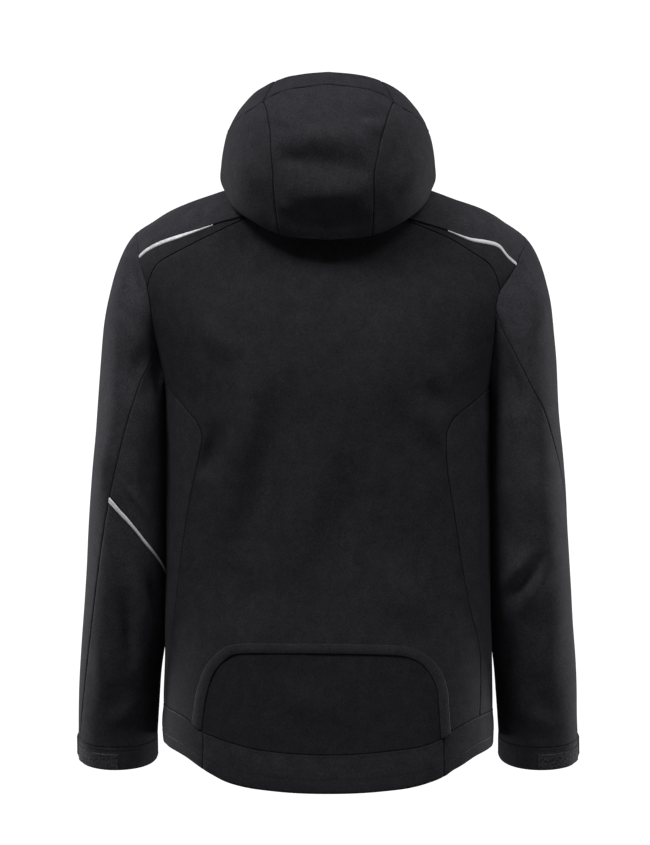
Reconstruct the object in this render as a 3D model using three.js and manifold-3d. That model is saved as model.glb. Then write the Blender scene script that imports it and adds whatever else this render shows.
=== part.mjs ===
import * as THREE from 'three';
import { mergeVertices } from 'three/addons/utils/BufferGeometryUtils.js';
import Module from 'manifold-3d';

// A hooded softshell jacket, as it hangs when worn, in millimetres with +Z up.
// Its back faces -Y, +X is the wearer's right, and the origin lies in the middle of the neck at the
// height of the shoulders. Every panel is a wall on one of three surfaces: torso, sleeve or hood.

// Driving dimensions
const WALL = 2.4;
const BAND_WALL = 2.8;
const SEAM_GAP = 0.3;
const TORSO_POWER = 2.4;
const SLEEVE_POWER = 2.2;
const SHOULDER_ROUND = 75;
const SHOULDER_POWER = 2.2;
const ARMPIT_Z = -266;
const ZIP_HALF = 4;
const CUFF_HEIGHT = 32;
const WELT = { width: 13, thickness: 1.4, lift: 0.9 };
const PIPING = { width: 5, thickness: 0.8, lift: 0.5, endShare: 0.3, taper: 0.6 };
const TAPE = {
  width: 14, thickness: 0.9, chain: 3.4, gap: 0.2, sunk: 0.4, behind: 0.5, neckRound: 65, neckAbove: 6,
};
const STRIP = { thickness: 1.1, lift: 0.4, across: [0.2, 0.9] };
const TAB = { thickness: 1.6, lift: 0.4, across: [0.04, 0.8] };
const CUFF_LIFT = 0.3;
const SLEEVE_START_GAP = 0.8;
const UNDERARM_GAP = 0.6;
const HOOD_START_GAP = 0.54;
const WEDGE_POINT_CUT = 12;
const SLEEVE_SEAM_CUT = 3;
const HEM_SEAM_CUT = 3;

// Torso sections from the neck down: half width, the side line's y, and the depths behind and before it
const TORSO = [
  { z: 30, half: 258, side: 5, back: 112, front: 38 },
  { z: -5, half: 260, side: 5, back: 114, front: 46 },
  { z: -60, half: 264, side: 5, back: 106, front: 60 },
  { z: -100, half: 259, side: 4, back: 118, front: 78 },
  { z: -150, half: 245, side: 2, back: 132, front: 102 },
  { z: -203, half: 222, side: 0, back: 139, front: 118 },
  { z: -246, half: 209, side: 0, back: 142, front: 127 },
  { z: -266, half: 206, side: 0, back: 141, front: 130 },
  { z: -350, half: 206, side: 0, back: 134, front: 133 },
  { z: -450, half: 206, side: 0, back: 126, front: 131 },
  { z: -550, half: 206, side: 0, back: 129, front: 131 },
  { z: -650, half: 208, side: 0, back: 137, front: 131 },
  { z: -760, half: 210, side: 0, back: 144, front: 130 },
];

// Height of the shoulder line over the distance from the centre
const SHOULDER = [
  { x: 0, z: 13 },
  { x: 78, z: 12 },
  { x: 120, z: 2.5 },
  { x: 157, z: -10 },
  { x: 179, z: -18 },
  { x: 197, z: -25.5 },
  { x: 211, z: -33 },
  { x: 223, z: -41 },
  { x: 236, z: -49 },
  { x: 246, z: -56.5 },
  { x: 262, z: -70 },
];

// Hem band round the body, by the angle from the centre back: top seam and lower edge
const HEM = [
  { angle: -180, top: -656, edge: -702 },
  { angle: -120, top: -652, edge: -699 },
  { angle: -90, top: -649, edge: -697 },
  { angle: -75, top: -650, edge: -699 },
  { angle: -56, top: -659, edge: -708 },
  { angle: -44, top: -676, edge: -722 },
  { angle: -32, top: -686.5, edge: -736 },
  { angle: -20, top: -695, edge: -743 },
  { angle: 0, top: -700.5, edge: -747.5 },
  { angle: 21, top: -695, edge: -743 },
  { angle: 30, top: -691, edge: -738 },
  { angle: 39, top: -682, edge: -730 },
  { angle: 45, top: -672, edge: -722 },
  { angle: 62, top: -659, edge: -707 },
  { angle: 90, top: -655, edge: -701 },
  { angle: 120, top: -654, edge: -699 },
  { angle: 180, top: -656, edge: -702 },
];
const TAIL_ANGLE = { left: 44, right: 39 };

// Seams of each side, as rows of [distance from the centre, height].
// The back armhole has fixed rows: 0 yoke seam, 2 wedge seam, 4 sleeve seam, 6 side seam.
const SIDES = {
  left: {
    sign: -1,
    tip: 241,
    tipBack: 241.5,
    tipFront: 242,
    armholeBack: [[236.5, -89.5], [231, -110], [225.5, -127], [220, -160], [214, -203], [209.5, -226], [205, -246]],
    yokeSeam: [[104, -41.5], [135, -48.5], [176.5, -61.5], [208.5, -71.5], [226, -80], [236.5, -89.5]],
    wedgeSeam: [[104, -43.5], [150, -64.5], [176, -77.5], [202, -90.5], [212.5, -98.5], [220, -109.5], [225.5, -127]],
    sideSeam: [
      [205, -246], [186, -268], [167.6, -288.5], [159.2, -301.4], [156.1, -314.3], [159.8, -336.4],
      [167.6, -370.8], [175.2, -408.9], [181, -445.7], [188, -499], [193, -539], [197, -573],
      [200.6, -611], [203, -650],
    ],
    piping: [[142.6, -51], [176.5, -61.5], [208.5, -71.5], [226, -80], [235.5, -88]],
    tabAngles: [-70, 10],
    stripAngles: [20, 90],
  },
  right: {
    sign: 1,
    tip: 246,
    tipBack: 249,
    tipFront: 245,
    armholeBack: [[236, -98], [224, -117], [214, -131], [210, -143], [208, -158], [205.5, -205], [202.6, -250]],
    yokeSeam: [[99.5, -44.5], [148, -58], [175, -68], [197, -71], [212.5, -75], [224, -88], [236, -98]],
    wedgeSeam: [[99.5, -46.5], [148, -66], [175, -82], [198, -97], [208, -112], [214, -131]],
    sideSeam: [
      [202.6, -250], [184, -267], [159.5, -286], [148.5, -301.4], [145.3, -318], [147.2, -356],
      [153.4, -393.6], [159.5, -431], [166.9, -477.6], [178.8, -536.7], [186, -561], [190, -595.5],
      [189, -646], [188.3, -659],
    ],
    piping: [[148, -58], [175, -68], [197, -71], [212.5, -75], [224, -88], [235, -97]],
    tabAngles: [-70, 10],
    stripAngles: [20, 90],
  },
};
const ARMHOLE_FRONT = [[238, -88], [226, -120], [212, -160], [203, -205], [202, -240]];
const YOKE_FRONT = [[74, -20], [110, -33], [150, -47], [195, -66], [238, -88]];
const SIDE_FRONT_ANGLE = 113;

// Neck seam: across the back, then over the shoulder by its lean (0 on the shoulder line), then the front
const NECK_BACK = [[0, -5], [20, -4.4], [40, -1.8], [56, 2]];
const NECK_OVER = [[56, -0.409], [69, -0.2], [77, 0], [78.5, 0.25], [77.5, 0.5], [74, 0.682]];
const NECK_FRONT = [[74, -20], [62, -40], [40, -58], [15, -68.5], [ZIP_HALF, -70]];
const NECK_STEPS = { back: 4, over: 6, front: 3, hoodSeam: 3 };
const CUFF_STEPS = { round: 28, overlay: 8 };
const HEM_STEPS = { back: 16, side: 22 };
const HEM_END_SHARE = 0.9;
const SEAM_STEPS = { stub: 1, yoke: 6, tip: 3, wedge: 2, sleeveAbove: 3, sleeveBelow: 3, underarm: 2,
  frontArmhole: 6, side: 13 };

// Arched seam of the lower back inset, from its left foot to its right one
const ARCH = [
  [-158, -700], [-157, -681], [-152, -642], [-146.4, -618.5], [-139, -601], [-126, -586.5], [-109, -578.5],
  [-60, -577.5], [0, -577.5], [50, -578.5], [80, -580], [97, -582.5], [113.8, -591], [126.6, -606], [134, -625],
  [135.6, -643.5], [138, -681], [139, -700],
];

// Sleeve sections down the arm: centre height, inner and outer side, centre y, half depth, forward
// pitch, and the back seam's angle (0 outermost, 90 back, 180 against the body)
const SLEEVE = [
  { z: -290, inner: 207, outer: 293, y: -2, deep: 86, pitch: 0, left: 91.7, right: 61.5 },
  { z: -360, inner: 207, outer: 298.5, y: -2, deep: 80, pitch: 3, left: 73.7, right: 30.6 },
  { z: -430, inner: 207, outer: 303, y: 1, deep: 73, pitch: 6, left: 58.8, right: 12 },
  { z: -490, inner: 207, outer: 307.5, y: 8, deep: 66, pitch: 10, left: 49.9, right: 0 },
  { z: -560, inner: 208, outer: 313, y: 24, deep: 58, pitch: 14, left: 40.8, right: -8 },
  { z: -630, inner: 215, outer: 319, y: 42, deep: 50, pitch: 17, left: 33.7, right: -14 },
  { z: -695.6, inner: 219.5, outer: 321.5, y: 61, deep: 45, pitch: 18, left: 20.2, right: -19 },
  { z: -726, inner: 220.5, outer: 322, y: 71, deep: 44.5, pitch: 18, left: 18, right: -20 },
];
const SLEEVE_END = 6;
const CUFF_END = 7;
const SLEEVE_FRONT_SEAM = -130;

// How the sleeve leaves the armhole: outwards and down, less steeply at the shoulder
const SLEEVE_LEAVE = { out: 0.585, outTop: 0.185, away: 0.25, down: 0.78, downTop: 0.14, pull: 0.64 };
const ONWARD_STEP = 0.2;
const SLEEVE_DOWNS = [0, 0.15, 0.32, 0.52, 0.75, 1, 1.5, 2, 2.5, 3, 3.5, 4, 4.5, 5, 5.5, 6, 6.5, SLEEVE_END + 1];
const ELBOW_ROWS_BELOW = 6;

// The sleeve's back seam between the armhole and the first section: share of the way, angle on each side
const SLEEVE_TOP_SEAM = [
  { share: 0, left: 122.5, right: 90.7 },
  { share: 0.15, left: 122.8, right: 95.8 },
  { share: 0.3, left: 120, right: 95.3 },
  { share: 0.45, left: 115.4, right: 92.3 },
  { share: 0.6, left: 108.8, right: 88.2 },
  { share: 0.8, left: 100.2, right: 78.7 },
  { share: 1, left: 91.7, right: 61.5 },
];

// Elbow seam across the left under sleeve: rows down the arm at its back edge and where it levels out
const ELBOW_SEAM = { outer: 2.33, inner: 4, level: 0.72, pipingStart: 0.015, pipingEnd: 0.7, pipingDrop: 0.01 };
const SLEEVE_ROW_STEP = 68;

// Hood sections by the angle from the centre back: distance from the neck's axis and height of the
// underside, the bag's bottom, its bulge, its upper side and its rim, and the edge band's start
const HOOD = [
  { angle: 0, under: [98, -8], bottom: [136, -72], bulge: [174, -2], upper: [160, 78], rim: [112, 137], band: 0.92 },
  { angle: 25, under: [100, -5], bottom: [141, -65], bulge: [174, 0], upper: [161, 76], rim: [115, 132], band: 0.905 },
  { angle: 45, under: [104, 3], bottom: [149, -38], bulge: [168, 4], upper: [153, 72], rim: [118, 120], band: 0.86 },
  { angle: 65, under: [106, 13], bottom: [141, -6], bulge: [146, 22], upper: [138, 66], rim: [119, 101], band: 0.83 },
  { angle: 90, under: [102, 20], bottom: [130, 14], bulge: [131, 34], upper: [125, 62], rim: [116, 84], band: 0.82 },
  { angle: 120, under: [92, 7], bottom: [107, 8], bulge: [109, 25], upper: [106, 45], rim: [101, 63], band: 0.8 },
  { angle: 150, under: [78, -42], bottom: [84, -22], bulge: [86, -2], upper: [85, 18], rim: [82, 37], band: 0.78 },
  { angle: 180, under: [69, -56], bottom: [71, -38], bulge: [72, -18], upper: [71, 2], rim: [69, 20], band: 0.78 },
];
const HOOD_SEAM = [
  { share: 0, left: 36, right: 34 },
  { share: 0.2, left: 30, right: 27 },
  { share: 0.4, left: 24.8, right: 22.5 },
  { share: 0.6, left: 22.7, right: 18.6 },
  { share: 0.7, left: 24, right: 21 },
  { share: 0.77, left: 26, right: 24.7 },
  { share: 0.85, left: 31, right: 31 },
  { share: 0.9, left: 38, right: 38.5 },
  { share: 0.95, left: 44, right: 47 },
];
const HOOD_ROWS = 12;
const HOOD_SETTLE = 0.4;

// Front zip: the chain's top end, the slider on it and the pull tab that swings on the slider's bail
const ZIP_TOP = 8;
const SLIDER = { width: 8.4, low: -4, high: 11, plate: 1.7, rear: 1.3, play: 0.5, bailWidth: 2.4, pivotZ: 4 };
const BAIL = { slot: 2.6, strap: 1.1, reach: 1.9 };
const PULL = { width: 7, bar: 1.4, length: 30, window: 6, slack: 0.55, hole: 3.2 };

// Colours from the cloth in daylight
const COLOURS = {
  shell: 0x262628, hood: 0x2e2d31, sleeve: 0x2d2c31, side: 0x212123, inset: 0x1d1d1f, welt: 0x242426,
  reflective: 0xb9b8bc, loop: 0x19191b, tape: 0x151517, metal: 0x3c3c40,
};

// Cubic interpolation of one column of a table over its first column
function column(rows, over, name, at) {
  const rising = rows[rows.length - 1][over] > rows[0][over];
  const key = (row) => (rising ? row[over] : -row[over]);
  const value = rising ? at : -at;
  let i = 0;
  while (i < rows.length - 2 && key(rows[i + 1]) <= value) i += 1;
  const slope = (k) => {
    const before = rows[Math.max(k - 1, 0)];
    const after = rows[Math.min(k + 1, rows.length - 1)];
    return (after[name] - before[name]) / (key(after) - key(before));
  };
  const span = key(rows[i + 1]) - key(rows[i]);
  const u = Math.min(Math.max((value - key(rows[i])) / span, 0), 1);
  const blend = u * u * (3 - 2 * u);
  return rows[i][name] * (1 - blend) + rows[i + 1][name] * blend
    + span * (u * (1 - u) ** 2 * slope(i) - u * u * (1 - u) * slope(i + 1));
}

const radians = (degrees) => (degrees * Math.PI) / 180;
const degrees = (angle) => (angle * 180) / Math.PI;
const power = (value, exponent) => Math.sign(value) * Math.abs(value) ** exponent;
const mix = (a, b, share) => a + (b - a) * share;
const shoulderZ = (x) => column(SHOULDER, 'x', 'z', Math.abs(x));

// Torso surface: a superellipse at each height, its depth closing in to the shoulder line
function torso(angle, z, lift = 0) {
  const half = column(TORSO, 'z', 'half', z) + lift;
  const sine = Math.sin(radians(angle));
  const cosine = Math.cos(radians(angle));
  const x = half * power(sine, 2 / TORSO_POWER);
  const drop = Math.min(Math.max((shoulderZ(x) - z) / SHOULDER_ROUND, 0), 1);
  const round = (1 - (1 - drop) ** SHOULDER_POWER) ** (1 / SHOULDER_POWER);
  const depth = column(TORSO, 'z', cosine > 0 ? 'back' : 'front', z) + lift;
  const y = column(TORSO, 'z', 'side', z) - depth * round * power(cosine, 2 / TORSO_POWER);
  return new THREE.Vector3(x, y, z);
}

// Places on the torso are { angle, z }, with angles past 90 on the front
function place(x, z, front = false) {
  const half = column(TORSO, 'z', 'half', z);
  const angle = degrees(Math.asin(Math.min(Math.abs(x) / half, 1) ** (TORSO_POWER / 2)));
  return { angle: Math.sign(x || 1) * (front ? 180 - angle : angle), z };
}

// The same place over the shoulder: { x, lean }, the lean being 0 on the shoulder line
function overPlace({ angle, z }) {
  const x = column(TORSO, 'z', 'half', z) * Math.abs(Math.sin(radians(angle))) ** (2 / TORSO_POWER);
  const drop = Math.max(shoulderZ(x) - z, 0) / SHOULDER_ROUND;
  return { x, lean: (Math.abs(angle) > 90 ? 1 : -1) * drop ** (1 / SHOULDER_POWER) };
}

function fromOver({ x, lean }) {
  const z = shoulderZ(x) - SHOULDER_ROUND * Math.abs(lean) ** SHOULDER_POWER;
  return place(x, z, lean > 0);
}

const onTorso = (lift = 0) => ({ angle, z }) => torso(angle, z, lift);

// A smooth line through rows of two columns, cut into equal steps or between two of its rows
function smoothLine(rows, steps) {
  const curve = new THREE.SplineCurve(rows.map(([u, v]) => new THREE.Vector2(u, v)));
  return curve.getSpacedPoints(steps).map((p) => [p.x, p.y]);
}

function stretchOf(places, from, to, steps) {
  const curve = new THREE.SplineCurve(places.map(({ angle, z }) => new THREE.Vector2(angle, z)));
  const last = places.length - 1;
  return Array.from({ length: steps + 1 }, (_, i) => {
    const p = curve.getPoint(mix(from, to, i / steps) / last);
    return { angle: p.x, z: p.y };
  });
}

const joinLines = (...lines) => lines.flatMap((line, i) => (i ? line.slice(1) : line));
const resample = (places, steps, keys) => smoothLine(places.map((p) => keys.map((k) => p[k])), steps)
  .map(([u, v]) => ({ [keys[0]]: u, [keys[1]]: v }));

// A grid of places between four edge lines: top and bottom run alike, and so do left and right
function patch(top, bottom, left, right, keys) {
  const across = top.length - 1;
  const down = left.length - 1;
  return left.map((_, j) => top.map((_unused, i) => {
    const u = i / across;
    const v = j / down;
    const spot = {};
    for (const k of keys) {
      const ruled = mix(left[j][k], right[j][k], u) + mix(top[i][k], bottom[i][k], v);
      const corners = mix(mix(top[0][k], top[across][k], u), mix(bottom[0][k], bottom[across][k], u), v);
      spot[k] = ruled - corners;
    }
    return spot;
  }));
}

const gridOf = (rows, toPoint) => rows.map((row) => row.map(toPoint));
const mirrored = (grid) => grid.map((row) => row.map((p) => new THREE.Vector3(-p.x, p.y, p.z)));
const sided = (grid, sign) => (sign < 0 ? mirrored(grid) : grid);

// Draws the four borders of a grid in by half the seam gap, each square to itself
function inset(grid, edges = { top: 1, bottom: 1, left: 1, right: 1 }) {
  const rows = grid.length - 1;
  const columns = grid[0].length - 1;
  const moved = grid.map((row) => row.map((p) => p.clone()));
  const draw = (j, i, dj, di, share) => {
    const from = grid[j][i];
    const along = dj ? [grid[j][Math.max(i - 1, 0)], grid[j][Math.min(i + 1, columns)]]
      : [grid[Math.max(j - 1, 0)][i], grid[Math.min(j + 1, rows)][i]];
    const tangent = along[1].clone().sub(along[0]).normalize();
    const inward = grid[j + dj][i + di].clone().sub(from);
    inward.addScaledVector(tangent, -inward.dot(tangent)).normalize();
    moved[j][i].addScaledVector(inward, (share * SEAM_GAP) / 2);
  };
  for (let i = 0; i <= columns; i += 1) {
    if (edges.top) draw(0, i, 1, 0, edges.top);
    if (edges.bottom) draw(rows, i, -1, 0, edges.bottom);
  }
  for (let j = 0; j <= rows; j += 1) {
    if (edges.left) draw(j, 0, 0, 1, edges.left);
    if (edges.right) draw(j, columns, 0, -1, edges.right);
  }
  return moved;
}

// The slope along a line of points at one of them, of second order at the ends too
function slopeAt(points, i, closed) {
  const count = points.length;
  if (count === 2) return points[1].clone().sub(points[0]);
  const near = closed ? i : Math.min(Math.max(i, 1), count - 2);
  const [a, b, c] = [near - 1, near, near + 1].map((k) => points[(k + count) % count]);
  const [h, k] = [a.distanceTo(b), b.distanceTo(c)];
  const first = b.clone().sub(a).divideScalar(h);
  const second = c.clone().sub(b).divideScalar(k);
  const bend = second.clone().sub(first).divideScalar(h + k);
  if (near > i) return first.addScaledVector(bend, -h);
  if (near < i) return second.addScaledVector(bend, k);
  return first.addScaledVector(bend, h);
}

function normalAt(grid, j, i, closed) {
  const across = slopeAt(grid[j], i, closed);
  const down = slopeAt(grid.map((row) => row[i]), j, false);
  return across.cross(down).normalize();
}

// A wall: the grid is its outer face, and its inner face lies one wall behind, away from `outward`
function wall(grid, thickness, { outward, closed = false, lift = 0 }) {
  const middle = [Math.floor(grid.length / 2), Math.floor(grid[0].length / 2)];
  const sample = normalAt(grid, middle[0], middle[1], closed);
  const turn = Math.sign(sample.dot(outward(grid[middle[0]][middle[1]])));
  const rows = grid.length;
  const columns = grid[0].length;
  const points = [];
  for (const depth of [-lift, thickness - lift]) {
    grid.forEach((row, j) => row.forEach((p, i) => {
      const normal = normalAt(grid, j, i, closed).multiplyScalar(turn);
      points.push(p.clone().addScaledVector(normal, -depth));
    }));
  }
  const at = (layer, j, i) => layer * rows * columns + j * columns + (i % columns);
  const quads = [];
  const spans = closed ? columns : columns - 1;
  for (let j = 0; j < rows - 1; j += 1) {
    for (let i = 0; i < spans; i += 1) {
      quads.push([at(0, j, i), at(0, j + 1, i), at(0, j + 1, i + 1), at(0, j, i + 1)]);
      quads.push([at(1, j, i), at(1, j, i + 1), at(1, j + 1, i + 1), at(1, j + 1, i)]);
    }
  }
  for (let i = 0; i < spans; i += 1) {
    quads.push([at(0, 0, i), at(0, 0, i + 1), at(1, 0, i + 1), at(1, 0, i)]);
    quads.push([at(0, rows - 1, i + 1), at(0, rows - 1, i), at(1, rows - 1, i), at(1, rows - 1, i + 1)]);
  }
  if (!closed) {
    for (let j = 0; j < rows - 1; j += 1) {
      const end = columns - 1;
      quads.push([at(0, j + 1, 0), at(0, j, 0), at(1, j, 0), at(1, j + 1, 0)]);
      quads.push([at(0, j, end), at(0, j + 1, end), at(1, j + 1, end), at(1, j, end)]);
    }
  }
  return facingOut(solidOf(points, quads));
}

function solidOf(points, quads) {
  const geometry = new THREE.BufferGeometry();
  const index = quads.flatMap(([a, b, c, d]) => [a, b, c, a, c, d]);
  geometry.setAttribute('position', new THREE.Float32BufferAttribute(points.flatMap((p) => p.toArray()), 3));
  geometry.setIndex(index);
  return geometry;
}

function facingOut(geometry) {
  const position = geometry.getAttribute('position');
  const index = geometry.getIndex().array;
  const [a, b, c] = [new THREE.Vector3(), new THREE.Vector3(), new THREE.Vector3()];
  let volume = 0;
  for (let i = 0; i < index.length; i += 3) {
    a.fromBufferAttribute(position, index[i]);
    b.fromBufferAttribute(position, index[i + 1]);
    c.fromBufferAttribute(position, index[i + 2]);
    volume += a.dot(b.cross(c));
  }
  if (volume < 0) {
    for (let i = 0; i < index.length; i += 3) {
      [index[i + 1], index[i + 2]] = [index[i + 2], index[i + 1]];
    }
  }
  geometry.computeVertexNormals();
  return geometry;
}

// Boolean cuts and joins
const wasm = await Module();
wasm.setup();

function toManifold(geometry) {
  const bare = geometry.clone();
  bare.deleteAttribute('normal');
  bare.deleteAttribute('uv');
  const merged = mergeVertices(bare, 1e-4);
  return new wasm.Manifold(new wasm.Mesh({
    numProp: 3,
    vertProperties: new Float32Array(merged.getAttribute('position').array),
    triVerts: new Uint32Array(merged.getIndex().array),
  }));
}

function fromManifold(solid) {
  const mesh = solid.getMesh();
  const geometry = new THREE.BufferGeometry();
  geometry.setAttribute('position', new THREE.BufferAttribute(mesh.vertProperties, 3));
  geometry.setIndex(new THREE.BufferAttribute(mesh.triVerts, 1));
  geometry.computeVertexNormals();
  return geometry;
}

const jacket = new THREE.Group();

function addPiece(name, geometry, colour, finish = {}) {
  const material = new THREE.MeshStandardMaterial({ color: colour, roughness: 0.85, metalness: 0, ...finish });
  const mesh = new THREE.Mesh(geometry, material);
  mesh.name = name;
  jacket.add(mesh);
}

const fromAxis = (p) => new THREE.Vector3(p.x, p.y, 0);

// The armhole of one side: lines of places on the torso between its seams
function armholeOf(shape) {
  const back = shape.armholeBack.map(([x, z]) => place(x, z));
  back.push({ angle: 90, z: ARMPIT_Z });
  const front = ARMHOLE_FRONT.map(([x, z]) => place(x, z, true));
  front.push({ angle: 90, z: ARMPIT_Z });
  const over = (bulge, corner) => {
    const end = overPlace(corner);
    const rows = [[shape.tip, 0], [bulge, end.lean / 2], [end.x, end.lean]];
    return smoothLine(rows, SEAM_STEPS.tip).map(([x, lean]) => ({ x, lean }));
  };
  const last = back.length - 1;
  return {
    overBack: over(shape.tipBack, back[0]),
    overFront: over(shape.tipFront, front[0]),
    wedge: stretchOf(back, 0, 2, SEAM_STEPS.wedge),
    back: joinLines(stretchOf(back, 2, 4, SEAM_STEPS.sleeveAbove), stretchOf(back, 4, 6, SEAM_STEPS.sleeveBelow)),
    sideBack: stretchOf(back, 6, last, SEAM_STEPS.underarm),
    front: stretchOf(front, 0, front.length - 2, SEAM_STEPS.frontArmhole),
    sideFront: stretchOf(front, front.length - 2, front.length - 1, SEAM_STEPS.underarm),
  };
}

// Seam lines that neighbouring panels share, cut into the same steps
function seamsOf(shape, side) {
  const hole = armholeOf(shape);
  const hem = (angle) => ({ angle, z: column(HEM, 'angle', 'top', shape.sign * angle) });
  const toPlaces = (rows, front) => rows.map(([x, z]) => place(x, z, front));
  const neckBack = toPlaces(smoothLine(NECK_BACK, NECK_STEPS.back));
  const neckOver = smoothLine(NECK_OVER, NECK_STEPS.over).map(([x, lean]) => ({ x, lean }));
  const neckFront = toPlaces(smoothLine(NECK_FRONT, NECK_STEPS.front), true);
  const neckCorner = [56, 2];
  const stub = toPlaces(smoothLine([neckCorner, shape.yokeSeam[0]], SEAM_STEPS.stub));
  const yokeSeam = toPlaces(smoothLine(shape.yokeSeam, SEAM_STEPS.yoke));
  const wedgeSeam = toPlaces(smoothLine(shape.wedgeSeam, SEAM_STEPS.yoke));
  const foot = shape.sideSeam[shape.sideSeam.length - 1];
  const footAngle = place(foot[0], foot[1]).angle;
  const sideRows = shape.sideSeam.map(([x, z]) => place(x, z));
  sideRows[sideRows.length - 1] = hem(footAngle);
  const sideSeam = resample(sideRows, SEAM_STEPS.side, ['angle', 'z']);
  const frontTop = hole.sideFront[0];
  const frontSeam = Array.from({ length: SEAM_STEPS.side + 1 }, (_, j) => {
    const share = j / SEAM_STEPS.side;
    const angle = mix(frontTop.angle, SIDE_FRONT_ANGLE, Math.min(share * 3, 1) ** 0.7);
    return { angle, z: mix(frontTop.z, hem(SIDE_FRONT_ANGLE).z, share) };
  });
  return {
    side, hole, hem, neckBack, neckOver, neckFront, stub, yokeSeam, wedgeSeam, sideSeam, frontSeam, footAngle,
  };
}

const seams = { left: seamsOf(SIDES.left, 'left'), right: seamsOf(SIDES.right, 'right') };
const signedPlaces = (places, sign) => places.map(({ angle, z }) => ({ angle: sign * angle, z }));
const torsoKeys = ['angle', 'z'];

function backGrid() {
  const { left, right } = seams;
  const half = (s) => joinLines([...s.wedgeSeam].reverse(), [...s.stub].reverse(), [...s.neckBack].reverse());
  const top = joinLines(signedPlaces(half(left), -1), half(right).reverse());
  const leftEdge = signedPlaces(joinLines(left.hole.back, left.sideSeam), -1);
  const rightEdge = joinLines(right.hole.back, right.sideSeam);
  const columns = top.length - 1;
  const bottom = top.map((_, i) => {
    const angle = mix(-left.footAngle, right.footAngle, i / columns);
    return { angle, z: column(HEM, 'angle', 'top', angle) };
  });
  return gridOf(patch(top, bottom, leftEdge, rightEdge, torsoKeys), onTorso());
}

// The arch's inside, as a prism through the back, drawn in or out by a margin
function archPrism(margin) {
  const middle = [-9, -650];
  const outline = ARCH.map(([x, z]) => {
    const away = new THREE.Vector2(x - middle[0], z - middle[1]).normalize().multiplyScalar(margin);
    return new THREE.Vector2(x + away.x, z + away.y);
  });
  const curve = new THREE.SplineCurve(outline).getPoints(2 * (outline.length - 1));
  const low = -900;
  const feet = [curve.at(-1), curve[0]].map((p) => new THREE.Vector2(p.x, low));
  const shape = new THREE.Shape([...curve, ...feet]);
  const prism = new THREE.ExtrudeGeometry(shape, { depth: 250, bevelEnabled: false });
  prism.rotateX(Math.PI / 2);
  prism.translate(0, -20, 0);
  return prism;
}

function addBack() {
  const whole = toManifold(wall(inset(backGrid()), WALL, { outward: fromAxis }));
  const outside = whole.subtract(toManifold(archPrism(SEAM_GAP / 2)));
  const inside = whole.intersect(toManifold(archPrism(-SEAM_GAP / 2)));
  addPiece('back_panel', fromManifold(outside), COLOURS.shell);
  addPiece('lower_back_panel', fromManifold(inside), COLOURS.inset);
  addPiece('lower_back_welt', weltSolid(), COLOURS.welt);
}

// A strip beside the arched seam, lying on the back
function weltSolid() {
  const line = new THREE.SplineCurve(ARCH.slice(1, -1).map(([x, z]) => new THREE.Vector2(x, z)));
  const steps = 44;
  const low = 3;
  const rows = [0.6, WELT.width * 0.5, WELT.width].map((out) => Array.from({ length: steps + 1 }, (_, i) => {
    const spot = line.getPointAt(i / steps);
    const along = line.getTangentAt(i / steps);
    const x = spot.x - along.y * out;
    const z = spot.y + along.x * out;
    const angle = place(x, z).angle;
    return { angle, z: Math.max(z, column(HEM, 'angle', 'top', angle) + low) };
  }));
  return wall(gridOf(rows, onTorso()), WELT.thickness, { outward: fromAxis, lift: WELT.thickness + WELT.lift });
}

function addSidePanel(s, shape) {
  const top = joinLines(s.hole.sideBack, [...s.hole.sideFront].reverse());
  const columns = top.length - 1;
  const bottom = top.map((_, i) => s.hem(mix(s.footAngle, SIDE_FRONT_ANGLE, i / columns)));
  const grid = gridOf(patch(top, bottom, s.sideSeam, s.frontSeam, torsoKeys), onTorso());
  const edges = { top: 1, bottom: 1, left: 2, right: 1 };
  const solid = wall(sided(inset(grid, edges), shape.sign), WALL, { outward: fromAxis });
  addPiece(`side_panel_${s.side}`, solid, COLOURS.side);
}

function addWedge(s, shape) {
  const down = s.hole.wedge.length - 1;
  const tip = Array.from({ length: down + 1 }, (_, j) => ({
    angle: mix(s.yokeSeam[0].angle, s.wedgeSeam[0].angle, j / down),
    z: mix(s.yokeSeam[0].z, s.wedgeSeam[0].z, j / down),
  }));
  const grid = gridOf(patch(s.yokeSeam, s.wedgeSeam, tip, s.hole.wedge, torsoKeys), onTorso());
  const edges = { top: 1, bottom: 1, left: WEDGE_POINT_CUT, right: 1 };
  const solid = wall(sided(inset(grid, edges), shape.sign), WALL,
    { outward: (p) => new THREE.Vector3(0, p.y, 60) });
  addPiece(`back_wedge_${s.side}`, solid, COLOURS.shell);
}

function addYoke(s, shape) {
  const backEdge = joinLines(s.stub, s.yokeSeam).map(overPlace);
  const frontRows = smoothLine(YOKE_FRONT, backEdge.length - 1).map(([x, z]) => overPlace(place(x, z, true)));
  const outer = joinLines([...s.hole.overBack].reverse(), s.hole.overFront);
  const grid = gridOf(patch(backEdge, frontRows, s.neckOver, outer, ['x', 'lean']), (p) => onTorso()(fromOver(p)));
  const solid = wall(sided(inset(grid), shape.sign), WALL, { outward: () => new THREE.Vector3(0, 0, 1) });
  addPiece(`shoulder_yoke_${s.side}`, solid, COLOURS.sleeve);
}

// The reflective piping lies along the yoke's back seam and tapers to both ends
function addPiping(s, shape) {
  const steps = 12;
  const line = smoothLine(shape.piping, steps);
  const rows = [0, 1].map((edge) => line.map(([x, z], i) => {
    const swell = mix(PIPING.endShare, 1, Math.sin((Math.PI * i) / steps) ** PIPING.taper);
    return place(x, z + (edge - 0.5) * PIPING.width * swell);
  }));
  const solid = wall(sided(gridOf(rows, onTorso()), shape.sign), PIPING.thickness,
    { outward: (p) => new THREE.Vector3(0, p.y, 60), lift: PIPING.thickness + PIPING.lift });
  addPiece(`shoulder_piping_${s.side}`, solid, COLOURS.reflective, { roughness: 0.4 });
}

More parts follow.
